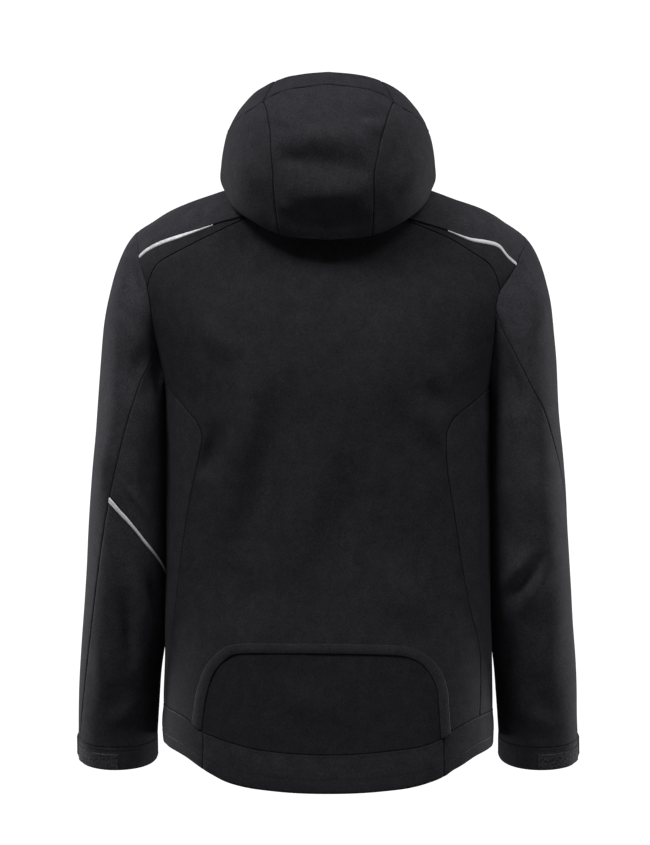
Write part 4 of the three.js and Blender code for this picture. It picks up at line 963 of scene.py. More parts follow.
def softshell(name, colour):
    """Matt bonded cloth: the colour flecked by yarn, times soft clouds, times a ramp of painted shade along
    the seams, with relief from an uneven slub and a fine knit."""
    material, nodes, links, shader, at = shader_material(name, 0.8, specular=0.05, sheen=0.02)
    shader.inputs["Sheen Tint"].default_value = (0.86, 0.88, 1.0, 1.0)
    fleck = noise_of(nodes, links, at, *FLECK)
    cloud = noise_of(nodes, links, at, *CLOUD)
    flecked = ramp_of(nodes, links, fleck, scaled(colour, 0.72), scaled(colour, 1.3))
    clouded = ramp_of(nodes, links, cloud, (0.72, 0.72, 0.73), WHITE, (0.34, 0.66))
    # Painted shade: the cloth is darkened towards each seam by the seam_shade weight on the mesh
    seam = nodes.new("ShaderNodeAttribute")
    seam.attribute_name = "seam_shade"
    shaded = ramp_of(nodes, links, seam.outputs["Fac"], WHITE, (0.32, 0.32, 0.33), (0.04, 0.85))
    cloth = multiplied(nodes, links, multiplied(nodes, links, flecked, clouded), shaded)
    links.new(cloth, shader.inputs["Base Color"])
    knit = noise_of(nodes, links, at, *KNIT, KNIT_STRETCH)
    slub = noise_of(nodes, links, at, *SLUB)
    bumped(nodes, links, shader, [(slub, 0.22, 0.0012), (knit, 0.35, 0.00025)])
    return material


def field_of(nodes, links, source, kind, scale, detail=0.0):
    """A field through space at a scale: noise in steps of detail, round cells by the distance from their
    middles, or waves along Z or slanting, distorted by detail."""
    if kind == "noise":
        return noise_of(nodes, links, source, scale, detail)
    texture = nodes.new("ShaderNodeTexVoronoi" if kind == "cells" else "ShaderNodeTexWave")
    texture.inputs["Scale"].default_value = scale
    links.new(source, texture.inputs["Vector"])
    if kind == "cells":
        return texture.outputs["Distance"]
    texture.bands_direction = kind
    texture.inputs["Distortion"].default_value = detail
    return texture.outputs["Fac"]


# Trims: roughness, metal, specular and sheen; the field of the tone, its shares of the colour and their
# places on the ramp; the field of the relief, its strength and its depth in metres
TRIMS = {
    # Light grey reflective film with its fine beads and a faint crazing
    "reflective_tape": ((0.42, 0.15, 0.5, 0.0), ("noise", 240.0, 3.0), (0.9, 1.08), (0.35, 0.65),
                        ("noise", 2400.0, 1.0), 0.25, 0.00015),
    # Loop pile, a dense field of small round loops
    "loop_tape": ((0.95, 0.0, 0.1, 0.05), ("cells", 520.0), (1.7, 0.4), (0.1, 0.8),
                  ("cells", 520.0), 0.7, 0.0006),
    # Narrow woven tape with ribs across its length and a little unevenness in the yarn
    "zip_tape": ((0.8, 0.0, 0.25, 0.1), ("noise", 900.0, 2.0), (0.75, 1.3), (0.35, 0.65),
                 ("Z", 420.0, 0.6), 0.4, 0.0003),
    # Satin gunmetal with fine casting grain and slightly uneven polish
    "dark_metal": ((0.34, 1.0, 0.3, 0.0), ("noise", 180.0, 4.0), (0.8, 1.2), (0.35, 0.65),
                   ("noise", 1400.0, 3.0), 0.15, 0.0001),
    # Moulded zip teeth, smooth dark plastic with a faint grain
    "zip_chain": ((0.4, 0.0, 0.45, 0.0), ("noise", 1100.0, 2.0), (0.85, 1.25), (0.35, 0.65),
                  ("noise", 1100.0, 2.0), 0.1, 0.0001),
    # Sewing thread with fine slanting plies
    "sewing_thread": ((0.6, 0.0, 0.3, 0.1), ("DIAGONAL", 900.0), (0.8, 1.25), (0.35, 0.65),
                      ("DIAGONAL", 900.0), 0.2, 0.0001),
}


def trim_finish(name, colour, trim):
    """A trim's finish: one field tones its colour through a ramp and one gives its relief."""
    surface, tone, (low, high), places, relief, strength, depth = trim
    material, nodes, links, shader, at = shader_material(name, *surface)
    fields = {field: field_of(nodes, links, at, *field) for field in dict.fromkeys((tone, relief))}
    toned = ramp_of(nodes, links, fields[tone], scaled(colour, low), scaled(colour, high), places)
    links.new(toned, shader.inputs["Base Color"])
    bumped(nodes, links, shader, [(fields[relief], strength, depth)])
    return material


# Sidebar colour of each finish
FINISHES = {
    "shell_cloth": "shell", "sleeve_cloth": "sleeve", "hood_cloth": "hood", "side_cloth": "side",
    "inset_cloth": "inset", "welt_cloth": "welt", "reflective_tape": "reflective", "loop_tape": "pile",
    "zip_tape": "tape", "zip_chain": "chain", "dark_metal": "metal", "sewing_thread": "thread",
}
MADE = {}


def finish(name):
    """The named finish in its sidebar colour, made once."""
    if name not in MADE:
        title, colour = f"{name}_finish", tuple(getattr(colours(), FINISHES[name]))
        MADE[name] = trim_finish(title, colour, TRIMS[name]) if name in TRIMS else softshell(title, colour)
    return MADE[name]


def edge_rolls(top, bottom, left=SEAM_ROLL, right=SEAM_ROLL):
    """How each edge of a panel is rolled."""
    return {"top": top, "bottom": bottom, "left": left, "right": right}


def sew(node, surface, normal, finish_name, *, doubled=False, closed=False, keep=None, shade=None):
    """Makes one sewn piece from its outer surface, one or two cloths deep along the normals, in place of its
    CAD node."""
    depth = 1000 * (sizes().band_thickness if doubled else sizes().cloth_thickness)
    # Painted shade along the piece's edges, unless another shade is given
    shade = seam_shade(surface, closed) if shade is None else shade
    piece = shell(f"sewn_{node}", surface, surface - normal * depth, closed, keep, shade)
    dress(piece, node, finish(finish_name))


def sew_panel(node, grid, outward, rolls, finish_name, rests_on, stitches=(), *, doubled=False, closed=False,
              keep=None, **relief):
    """Sews one panel over its plain grid, with a row of stitching at each (edge, distance)."""
    surface, normal = cloth_surface(grid, outward, rolls, closed=closed, **relief)
    sew(node, surface, normal, finish_name, doubled=doubled, closed=closed, keep=keep)
    for edge, away in stitches:
        sew_along(surface, normal, edge, away)


# Back
def inside(spots, outline):
    """Whether flat spots lie inside an outline: a line from each to one side crosses it an odd number of
    times."""
    odd = np.zeros(spots.shape[:-1], bool)
    for (ax, az), (bx, bz) in zip(outline, np.roll(outline, -1, axis=0)):
        if az == bz:
            continue
        crosses = (spots[..., 1] < az) != (spots[..., 1] < bz)
        odd ^= crosses & (spots[..., 0] < ax + (bx - ax) * (spots[..., 1] - az) / (bz - az))
    return odd


def back_hole(grid, margin):
    """Squares of the back's grid that lie outside the arched seam by a margin."""
    arch = spline(ARCH, 120)
    spots = grid[..., [0, 2]]
    distance, _ = near_line(spots, arch)
    within = inside(spots, np.vstack([arch, [arch[-1, 0], -900], [arch[0, 0], -900]]))
    kept = ~within & (distance > margin)
    return kept[:-1, :-1] & kept[1:, :-1] & kept[:-1, 1:] & kept[1:, 1:]


def inset_places(u, v):
    """Torso places of the lower back inset: between the two legs of the arch, its crown and the hem seam."""
    arch = place(spline(ARCH, 1700))
    rows = np.linspace(0, len(ARCH) - 1, 1700)
    kept = arch[:, 1] > hem(arch[:, 0])[:, 1]
    arch, rows = arch[kept], rows[kept]
    left, right = np.searchsorted(rows, 4.5), np.searchsorted(rows, 12.5)
    bottom = hem(np.linspace(arch[0, 0], arch[-1, 0], 200))
    return patch(arch[left:right], bottom, arch[left::-1], arch[right:], u, v)


def half_round(grid, outward, foot, rise, folds=None):
    """A rounded strip on the cloth: the grid moved out by its foot and a half round across its rows."""
    normal = outward_normals(grid, outward)
    height = wavering(grid)
    if folds:
        height = height + creased(grid, normal, folds)
    base = grid + normal * (height + foot)[..., None]
    share = np.linspace(-1, 1, grid.shape[0])[:, None, None]
    return base + normal * rise * np.sqrt(np.maximum(1 - share**2, 0)), base


def lay_piping(node, grid, outward, folds=None):
    """Lays a half-round reflective strip on the rows of a grid, in place of its CAD node."""
    outer, base = half_round(grid, outward, STRIP_FOOT, STRIP_RISE, folds)
    piece = shell(f"sewn_{node}", outer, base - outward_normals(base, outward) * STRIP_DEPTH)
    dress(piece, node, finish("reflective_tape"))


def welt_grid():
    """Places beside the arched seam, in rows further and further out from it."""
    line = spline(ARCH, 1700)
    line = even(line[line[:, 1] > hem(place(line)[:, 0])[:, 1]], 320)
    run = unit(np.gradient(line, axis=0))
    across = np.stack([-run[:, 1], run[:, 0]], -1)
    outs = np.linspace(*WELT_ROWS)[:, None, None]
    places = place(line[None] + across[None] * outs)
    floor = hem(places[..., 0])[..., 1] + 0.1
    return torso(np.stack([places[..., 0], np.maximum(places[..., 1], floor)], -1))


def wedge_grid(s, sign, step):
    """The shoulder wedge between the yoke seam, the wedge seam and the armhole."""
    tip = np.linspace(s["yoke"][0], s["wedge"][0], 2 * FINE)
    u, v = panel_shares("wedge", step, 0.3)
    return sided(torso(patch(s["yoke"], s["wedge"], tip, s["hole"]["wedge"], u, v)), sign)


class JACKET_OT_back(bpy.types.Operator):
    """Sew the back, its arched lower inset, the welt round that and the shoulder wedges"""

    bl_idname = "jacket.back"
    bl_label = "Back"

    def execute(self, context):
        step = sizes().grid_step * 1000
        grid = torso(back_places(*panel_shares("back", step)))
        sew_panel("back_panel", grid, away_from_axis, edge_rolls(SEAM_ROLL, UNDER_ROLL), "shell_cloth",
                  "sewn_shoulder_yoke_left", keep=back_hole(grid, HOLE_MARGIN), folds=CREASES)
        grid = torso(inset_places(*panel_shares("inset", step)))
        rolls = edge_rolls(TURNED_ROLL, UNDER_ROLL, TURNED_ROLL, TURNED_ROLL)
        sew_panel("lower_back_panel", grid, away_from_axis, rolls, "inset_cloth", "sewn_back_panel",
                  folds=CREASES)
        self.welt()
        for side, shape in SIDES.items():
            rolls = {"top": WEDGE_ROLLS[0], "bottom": WEDGE_ROLLS[1], "right": SEAM_ROLL}
            grid = wedge_grid(SEAMS[side], shape["sign"], step)
            sew_panel(f"back_wedge_{side}", grid, up_and_back, rolls, "shell_cloth", "sewn_back_panel")
        return {"FINISHED"}

    def welt(self):
        """The half-round welt along the arched seam, with a row of stitching inside both its edges"""
        outer, base = half_round(welt_grid(), away_from_axis, *WELT_ROUND, CREASES)
        under = base - outward_normals(base, away_from_axis) * WELT_DEPTH
        # Painted shade along the welt's edges
        piece = shell("sewn_lower_back_welt", outer, under, shade=seam_shade(outer))
        dress(piece, "lower_back_welt", finish("welt_cloth"))
        normal = outward_normals(outer, away_from_axis)
        for edge, away in zip(("bottom", "top"), WELT_STITCHES):
            sew_along(outer, normal, edge, away)


# Shoulders
def yoke_grid(s, sign, step):
    """The yoke over the shoulder, as (x, lean) between neck, armhole and the seams of back and front."""
    back_edge = over_place(joined(s["stub"], s["yoke"]))
    front_edge = over_place(place(smooth_line(YOKE_FRONT, 7), True))
    outer = joined(s["hole"]["over_back"][::-1], s["hole"]["over_front"])
    places = patch(back_edge, front_edge, s["neck_over"], outer, *panel_shares("yoke", step))
    return sided(torso(from_over(places)), sign)


def piping_grid(shape):
    """Rows beside the yoke seam, narrow at the inner end and full from there to the armhole."""
    line = smooth_line(shape["piping"], 10)
    share = np.linspace(0, 1, len(line))
    swell = mix(0.3, 1.0, smooth(share, 0, 0.5)) * mix(1.0, 0.8, smooth(share, 0.97, 1.0))
    rise = np.linspace(-0.5, 0.5, 9)[:, None] * sizes().piping_width * 1000 * swell
    rows = np.stack([np.broadcast_to(line[:, 0], rise.shape), line[:, 1] + rise], -1)
    return sided(torso(place(rows)), shape["sign"])


class JACKET_OT_shoulders(bpy.types.Operator):
    """Sew the shoulder yokes and lay the reflective piping on their back seams"""

    bl_idname = "jacket.shoulders"
    bl_label = "Shoulders"

    def execute(self, context):
        step = sizes().grid_step * 1000
        for side, shape in SIDES.items():
            grid = yoke_grid(SEAMS[side], shape["sign"], step)
            rolls = edge_rolls(BAND_ROLL, SEAM_ROLL, END_ROLL)
            sew_panel(f"shoulder_yoke_{side}", grid, upwards, rolls, "sleeve_cloth", "sewn_back_panel")
            lay_piping(f"shoulder_piping_{side}", piping_grid(shape), up_and_back)
        return {"FINISHED"}


# Sides and fronts
def side_grid(s, sign, step):
    """The side panel between the back's side seam, the armhole, the front's side seam and the hem."""
    top = joined(s["hole"]["side_back"], s["hole"]["side_front"][::-1])
    angles = np.linspace(s["foot_angle"], SIDE_FRONT_ANGLE, len(top))
    bottom = np.stack([angles, hem(sign * angles)[:, 1]], -1)
    places = patch(top, bottom, s["side"], s["front"], *panel_shares("side", step))
    return sided(torso(places), sign)


def zip_heights(share):
    """Heights down the front edge, closer together at the neck."""
    return mix(NECK_FRONT[-1][1], HEM["top"][0], share**1.25)


def front_grid(s, sign, step):
    """The front between the neck, the yoke, the armhole, the side seam, the hem and the zip."""
    top = joined(s["neck_front"][::-1], place(smooth_line(YOKE_FRONT, 7), True))
    outer = joined(s["hole"]["front"], s["front"])
    heights = zip_heights(np.linspace(0, 1, len(outer)))
    zip_edge = place(np.stack([np.full_like(heights, ZIP_HALF), heights], -1), True)
    angles = np.linspace(zip_edge[-1, 0], SIDE_FRONT_ANGLE, len(top))
    bottom = np.stack([angles, hem(sign * angles)[:, 1]], -1)
    return sided(torso(patch(top, bottom, zip_edge, outer, *panel_shares("front", step))), sign)


class JACKET_OT_sides(bpy.types.Operator):
    """Sew the side panels"""

    bl_idname = "jacket.sides"
    bl_label = "Side panels"

    def execute(self, context):
        step = sizes().grid_step * 1000
        for side, shape in SIDES.items():
            # The side cloth carries painted light, lighter than the shell to make up for the sleeves' shade
            sew_panel(f"side_panel_{side}", side_grid(SEAMS[side], shape["sign"], step), away_from_axis,
                      edge_rolls(SEAM_ROLL, UNDER_ROLL), "side_cloth", "sewn_back_panel")
        return {"FINISHED"}


class JACKET_OT_fronts(bpy.types.Operator):
    """Sew the two plain fronts with topstitching beside the zip"""

    bl_idname = "jacket.fronts"
    bl_label = "Fronts"

    def execute(self, context):
        step = sizes().grid_step * 1250
        for side, shape in SIDES.items():
            sew_panel(f"front_{side}", front_grid(SEAMS[side], shape["sign"], step), away_from_axis,
                      edge_rolls(SEAM_ROLL, UNDER_ROLL, TURNED_ROLL), "shell_cloth",
                      f"sewn_shoulder_yoke_{side}", [("left", ZIP_STITCH)], folds=CREASES,
                      grooves={"left": ZIP_STITCH})
        return {"FINISHED"}


# Hem
def hem_grid(start, end, u, v):
    """The hem band between two angles from the centre back."""
    angle = mix(start, end, u)[None]
    down = v[:, None]
    z = mix(column(HEM, "angle", "top", angle), column(HEM, "angle", "edge", angle), down)
    return torso(np.stack([np.broadcast_to(angle, z.shape), z], -1))


class JACKET_OT_hem(bpy.types.Operator):
    """Sew the hem bands with their rolled lower edge and two rows of stitching"""

    bl_idname = "jacket.hem"
    bl_label = "Hem"

    def execute(self, context):
        step = sizes().grid_step * 1000
        end = 180 - 0.9 * float(np.degrees(np.arcsin((ZIP_HALF / 210) ** (TORSO_POWER / 2))))
        bands = {
            "back": (TAIL_ANGLES[0], TAIL_ANGLES[1], 300),
            "left": (-end, TAIL_ANGLES[0], 470),
            "right": (TAIL_ANGLES[1], end, 490),
        }
        for name, (first, last, length) in bands.items():
            grid = hem_grid(first, last, shares(length, step), shares(*HEM_ROWS))
            sew_panel(f"hem_band_{name}", grid, away_from_axis,
                      edge_rolls(BAND_ROLL, HEM_ROLL, END_ROLL, END_ROLL), "shell_cloth", "sewn_back_panel",
                      [("bottom", HEM_STITCH), ("top", BAND_STITCH)], doubled=True, bulge=0.9,
                      grooves={"bottom": HEM_STITCH}, pucker=0.35)
        return {"FINISHED"}


# Sleeves
SLEEVE_RUN = np.array([0.0, 185, 256, 327, 388, 460, 532, 598])


def down_at(run):
    """Row of the sleeve at a length down the arm in millimetres."""
    return np.interp(run, SLEEVE_RUN, np.arange(len(SLEEVE_RUN)))


def run_at(down):
    """Length down the arm at a row of the sleeve."""
    return np.interp(down, np.arange(len(SLEEVE_RUN)), SLEEVE_RUN)


SLEEVE_CREASES = {
    "left": {
        "back": [
            ([(-234, -474), (-222, -516), (-217, -556)], 5, -2.2),
            ([(-266, -500), (-254, -560), (-248, -614)], 8, -2.6),
            ([(-250, -470), (-238, -545), (-232, -640)], 8, 2.2),
            ([(-218, -290), (-226, -370), (-214, -450)], 9, -2.0),
            ([(-268, -364), (-249, -386), (-234, -407), (-224, -428)], 4, 1.1),
            ([(-240, -70), (-246, -105), (-234, -150)], 9, -1.8),
            ([(-258, -120), (-262, -180), (-250, -230)], 16, 1.6),
            ([(-226, -190), (-236, -230), (-238, -280)], 13, -2.0),
            ([(-290, -300), (-280, -360), (-284, -420)], 15, 1.2),
            ([(-300, -560), (-284, -620), (-288, -680)], 14, 1.1),
            ([(-240, -640), (-262, -668), (-290, -676)], 10, 1.2),
        ],
        "front": [
            ([(-236, -300), (-256, -350), (-290, -370)], 12, -2.2),
            ([(-232, -370), (-256, -400), (-296, -412)], 11, 2.0),
            ([(-238, -440), (-262, -462), (-300, -468)], 12, -1.8),
            ([(-250, -120), (-262, -190), (-258, -250)], 16, 1.6),
            ([(-246, -540), (-272, -590), (-276, -650)], 13, 1.3),
        ],
    },
    "right": {
        "back": [
            ([(263, -451), (240, -482), (216, -513)], 9, 2.4),
            ([(278, -475), (258, -510), (239, -545)], 10, 2.2),
            ([(280, -452), (250, -494), (226, -530)], 7, -2.4),
            ([(232, -540), (226, -580), (236, -620)], 12, -1.8),
            ([(252, -100), (266, -150), (262, -210)], 14, 1.6),
            ([(220, -180), (232, -240), (238, -290)], 13, -2.2),
            ([(240, -330), (262, -380), (268, -430)], 16, 1.4),
            ([(222, -380), (226, -430), (236, -470)], 11, -1.8),
            ([(286, -540), (276, -600), (284, -660)], 15, 1.3),
            ([(240, -650), (266, -672), (296, -674)], 10, 1.1),
        ],
        "front": [
            ([(234, -290), (258, -344), (292, -366)], 12, -2.2),
            ([(230, -362), (258, -396), (296, -406)], 11, 2.0),
            ([(236, -432), (264, -458), (302, -462)], 12, -1.8),
            ([(252, -130), (264, -200), (256, -260)], 16, 1.5),
            ([(248, -550), (270, -600), (280, -656)], 13, 1.3),
        ],
    },
}


def tucked(grid, allowance):
    """The grid with one more row before its first, as the seam allowance under the neighbouring piece."""
    return np.concatenate([(grid[0] + unit(grid[0] - grid[1]) * allowance)[None], grid])


def sleeve_part(loop, side, part, run, u):
    """A part of the sleeve over lengths down the arm and shares of its width."""
    down = down_at(run)
    return sleeve_point(loop, down, sleeve_angle(loop, side, part, down, u))


class JACKET_OT_sleeves(bpy.types.Operator):
    """Sew both sleeves in their outer and under parts, with the piped elbow seam on the left"""

    bl_idname = "jacket.sleeves"
    bl_label = "Sleeves"

    def execute(self, context):
        step = sizes().grid_step * 1000
        u = shares(SLEEVE_WIDTH, step)
        for side, shape in SIDES.items():
            sign = shape["sign"]
            loop = armhole_loop(SEAMS[side])
            outward = from_sleeve(sign)
            full = SLEEVE_RUN[-1]
            run = shares(full, step)[:, None] * full
            creases = SLEEVE_CREASES[side]
            parts = {f"sleeve_outer_{side}": ("outer", run)}
            if side == "right":
                parts["sleeve_under_right"] = ("under", run)
            else:
                elbow = run_at(elbow_row(u))[None]
                upper, lower = (shares(length, step)[:, None] for length in ELBOW_LENGTHS)
                parts["sleeve_under_left_upper"] = ("under", upper * elbow)
                parts["sleeve_under_left_lower"] = ("under", mix(elbow, full, lower))
            for node, (part, lengths) in parts.items():
                grid = sided(sleeve_part(loop, side, part, lengths, u[None]), sign)
                if not node.endswith("lower"):
                    grid = tucked(grid, ARMHOLE_TUCK)
                grooves = {"top": ARMHOLE_STITCH} if side == "right" else {}
                sew_panel(node, grid, outward, edge_rolls(SEAM_ROLL, TURNED_ROLL), "sleeve_cloth",
                          f"sewn_shoulder_yoke_{side}", grooves.items(), folds=creases, grooves=grooves)
            if side == "left":
                self.elbow_piping(loop, sign, outward, creases)
        return {"FINISHED"}

    def elbow_piping(self, loop, sign, outward, creases):
        """The reflective strip just below the elbow seam, from the back seam to the body's side"""
        share = np.linspace(*ELBOW_PIPING, 120)[None]
        width = sizes().piping_width * 1000 * mix(1.2, 0.8, share / ELBOW_PIPING[1])
        run = run_at(elbow_row(share)) + ELBOW_PIPING_GAP + np.linspace(0, 1, 9)[:, None] * width
        grid = sided(sleeve_part(loop, "left", "under", run, share), sign)
        lay_piping("elbow_piping_left", grid, outward, creases)


# Cuffs
def cuff_overlay(angles, heights):
    """A strip on the cuff between two angles and two shares of its height."""
    u, v = shares(60, 60 / 28), shares(20, 20 / 14)
    return sleeve_section(SLEEVE_END + mix(*heights, v)[:, None], mix(*angles, u)[None])


class JACKET_OT_cuffs(bpy.types.Operator):
    """Sew the cuffs, their loop strips and the tabs that close on them"""

    bl_idname = "jacket.cuffs"
    bl_label = "Cuffs"

    def execute(self, context):
        for side, shape in SIDES.items():
            sign = shape["sign"]
            outward = from_sleeve(sign)
            angles = np.linspace(0, 360, 121)[:-1]
            v = shares(*CUFF_ROWS)
            grid = sided(sleeve_section(SLEEVE_END + v[:, None], angles[None]), sign)
            sew_panel(f"cuff_{side}", grid, outward, {"top": JOIN_ROLL, "bottom": CUFF_ROLL}, "sleeve_cloth",
                      f"sewn_sleeve_outer_{side}", zip(("top", "bottom"), CUFF_STITCHES), doubled=True,
                      closed=True, bulge=0.6, pucker=0.2, grooves={"top": CUFF_STITCHES[0]})
            self.overlay(f"cuff_loop_strip_{side}", sign, *LOOP_STRIP, "loop_tape")
            self.overlay(f"cuff_tab_{side}", sign, *CUFF_TAB, "sleeve_cloth")
        return {"FINISHED"}

    def overlay(self, node, sign, angles, heights, foot, thick, finish_name):
        """One strip laid on the cuff, with its edges rounded down and a row of stitching inside them"""
        outward = from_sleeve(sign)
        grid = sided(cuff_overlay(angles, heights), sign)
        normal = outward_normals(grid, outward)
        base = grid + normal * (wavering(grid) + foot)[..., None]
        distances = edge_distances(base)
        height = np.full(grid.shape[:-1], thick)
        for edge in distances:
            height -= rolled(distances[edge], 0.45 * thick, 1.4)
        surface = base + normal * height[..., None]
        piece = shell(f"sewn_{node}", surface, base)
        dress(piece, node, finish(finish_name))
        for edge in ("top", "bottom"):
            sew_along(surface, normal, edge, STRIP_STITCH)


# Hood
HOOD_CREASES = {
    "back": [
        ([(-96, 62), (-40, 66), (10, 64), (96, 62)], 16, 2.2),
        ([(-82, 34), (-30, 37), (20, 32), (82, 36)], 13, -1.7),
        ([(-90, -4), (-30, -8), (30, -6), (90, -4)], 15, 2.2),
        ([(-90, -34), (-30, -38), (30, -38), (90, -34)], 17, -3.6),
        ([(92, 66), (62, 76), (44, 92)], 6, 1.4),
        ([(78, 84), (56, 94), (30, 96)], 6, -1.1),
        ([(-84, 76), (-62, 78), (-36, 70)], 6, -1.0),
        ([(-72, 34), (-50, 40), (-20, 36)], 7, -0.9),
        ([(66, 30), (50, 24), (22, 28)], 7, -0.9),
        ([(-66, -16), (-50, -22), (-34, -24)], 5, 1.1),
        ([(60, -22), (46, -26), (30, -24)], 5, 1.1),
        ([(-118, 60), (-104, 20), (-100, -20)], 16, 1.3),
        ([(116, 58), (104, 18), (98, -22)], 15, 1.3),
        ([(-90, 84), (-84, 50), (-90, 10)], 13, -1.0),
        ([(88, 90), (84, 46), (92, 4)], 12, -1.0),
    ],
    "front": [
        ([(-96, 40), (-80, 10), (-50, -12)], 9, 1.2),
        ([(94, 44), (84, 12), (48, -16)], 10, 1.3),
        ([(-60, 22), (-44, -6), (-20, -30)], 8, -1.1),
        ([(58, 24), (40, -4), (22, -34)], 8, -1.0),
    ],
}


def hood_angles(low, high, u, v):
    """Angles and profile shares of a hood panel between two seams, from the neck to the edge band."""
    limit = band_start(mix(low(np.array(0.9)), high(np.array(0.9)), u))
    share = v[:, None] * limit[None]
    return mix(low(share), high(share), u[None]), share


class JACKET_OT_hood(bpy.types.Operator):
    """Sew the hood: centre panel, two sides and the band along its edge"""

    bl_idname = "jacket.hood"
    bl_label = "Hood"

    def execute(self, context):
        step = sizes().grid_step * 850
        seams = (
            lambda s: -np.full_like(s, HOOD_FRONT), lambda s: -hood_seam_angle("left", s),
            lambda s: hood_seam_angle("right", s), lambda s: np.full_like(s, HOOD_FRONT),
        )
        tops = []
        for (node, width), low, high in zip(HOOD_PANELS, seams, seams[1:]):
            angle, share = hood_angles(low, high, shares(width, step), shares(HOOD_LENGTH, step))
            sew_panel(node, hood_point(angle, share), away_from_axis, edge_rolls(*HOOD_ROLLS),
                      "hood_cloth", "sewn_back_panel", folds=HOOD_CREASES, pucker=0.7)
            tops.append(np.stack([angle[-1], share[-1]], -1))
        self.band(tops)
        return {"FINISHED"}

    def band(self, tops):
        """The band along the edge, from the panels' last rows to the rim, with the panels' two seams drawn on
        across it as bell-shaped grooves with painted shade along them"""
        top = joined(*tops)
        v = shares(*RIM_ROWS)
        share = mix(top[None, :, 1], 1.0, v[:, None])
        grid = hood_point(np.broadcast_to(top[None, :, 0], share.shape), share)
        rolls = {"top": JOIN_ROLL, "bottom": RIM_ROLL}
        surface, normal = cloth_surface(
            grid, away_from_axis, rolls, bulge=0.5, grooves={"bottom": ZIP_STITCH})
        # Painted shade along the band's edges
        shade = seam_shade(surface)
        run = edge_distances(surface)["left"]
        for seam in (len(tops[0]) - 1, len(tops[0]) + len(tops[1]) - 2):
            near = bell(run - run[:, seam, None], GROOVE_WIDTH)
            surface = surface - normal * (CROSS_SEAM_DEPTH * near)[..., None]
            # Painted shade along each seam that crosses the band
            shade = np.maximum(shade, near)
        sew("hood_edge_band", surface, normal, "hood_cloth", shade=shade)
        sew_along(surface, normal, "top", BAND_STITCH)


# Zip
def front_line(rows):
    """Centre front line from the hem to the top of the zip."""
    low, seam = HEM["edge"][0] + 1, HEM["top"][0]
    heights = np.concatenate([[low, mix(HEM["edge"][0], seam, 0.5)], zip_heights(np.linspace(1, 0, 80))])
    line = torso(np.stack([np.full_like(heights, 180.0), heights], -1))
    hood = hood_point(np.full(9, 180.0), np.linspace(0.08, 0.8, 9))
    top = np.array([[0.0, hood[-1, 1], ZIP_TOP]])
    return even(np.vstack([line, hood, top]), rows)


def zip_frame(rows):
    """The front line with the direction along it and the one into the jacket."""
    line = front_line(rows)
    line[:, 0] = 0
    run = unit(np.gradient(line, axis=0))
    inward = np.stack([np.zeros(rows), -run[:, 2], run[:, 1]], -1)
    return line, run, inward


def blocks_object(name, centres, axes, half):
    """One mesh of many rounded blocks: on each, rings of a superellipse that close in towards both ends,
    scaled by the half sizes along the block's own three axes, with a fan of faces on each end."""
    rings, sides = BLOCK_RINGS, BLOCK_SIDES
    turn = np.linspace(0, 2 * np.pi, sides, endpoint=False)
    lean = np.linspace(-1, 1, rings)[:, None]
    narrow = 1 - 0.55 * np.abs(lean) ** 3
    ring = np.stack([
        narrow * signed_power(np.cos(turn), 0.6)[None] * half[0],
        narrow * signed_power(np.sin(turn), 0.6)[None] * half[1],
        np.broadcast_to(lean * half[2], (rings, sides)),
    ], -1).reshape(-1, 3)
    points = centres[:, None] + np.einsum("pk,nkc->npc", ring, axes)
    j, i = np.meshgrid(np.arange(rings - 1) * sides, np.arange(sides), indexing="ij")
    after = (i + 1) % sides
    walls = np.stack([j + i, j + after, j + sides + after, j + sides + i], -1).reshape(-1, 4)
    k = np.arange(0, sides - 2, 2)
    caps = np.stack([np.zeros_like(k), k + 1, k + 2, (k + 3) % sides], -1)
    faces = faces_out(points[0], np.vstack([walls, caps[:, ::-1], caps + (rings - 1) * sides]))
    every = (faces[None] + np.arange(len(points))[:, None, None] * points.shape[1]).reshape(-1, 4)
    return mesh_object(name, points.reshape(-1, 3), every)


class JACKET_OT_zip(bpy.types.Operator):
    """Make the front zip: two tapes, two rows of moulded teeth, and the metal of slider and pull"""

    bl_idname = "jacket.zip"
    bl_label = "Front zip"

    def execute(self, context):
        line, _, inward = zip_frame(240)
        across = np.array([0.6, 1.6, 3.0, 5.0, 7.5, 10.0, 12.0, 13.4, 14.0])
        behind = BAND_WALL + TAPE_GAP
        bend = np.where(line[:, 2] > NECK_FRONT[-1][1] - 6, across[-1] ** 2 / 130.0, 0.2)
        depth = behind + bend[:, None] * (across[None] / across[-1]) ** 2
        for side, sign in (("left", -1), ("right", 1)):
            grid = line[:, None] + inward[:, None] * depth[..., None]
            grid = grid + np.array([sign, 0.0, 0.0]) * across[None, :, None]
            piece = shell(f"sewn_zip_tape_{side}", grid, grid + inward[:, None] * TAPE_DEPTH)
            dress(piece, f"zip_tape_{side}", finish("zip_tape"))
            self.teeth(side, sign)
        for node in ("zip_slider", "zip_pull"):
            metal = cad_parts[node]
            metal.data.materials.clear()
            metal.data.materials.append(finish("dark_metal"))
        return {"FINISHED"}

    def teeth(self, side, sign):
        """One row of teeth on the inner edge of its tape, half a step above the other row"""
        line, run, inward = zip_frame(2400)
        length = run_of(line)
        at = np.arange(3.0 + (0.5 * TOOTH_PITCH if sign > 0 else 0.0), length[-1] - 9.0, TOOTH_PITCH)
        centre, along_zip, into = (read_at(at, length, values) for values in (line, run, inward))
        centre = centre + into * TOOTH_INWARD + np.array([sign * TOOTH_ASIDE, 0.0, 0.0])
        sideways = np.broadcast_to(np.array([1.0, 0.0, 0.0]), centre.shape)
        axes = np.stack([sideways, along_zip, into], 1)
        piece = blocks_object(f"zip_teeth_{side}", centre, axes, TOOTH_HALF)
        dress(piece, None, finish("zip_chain"))


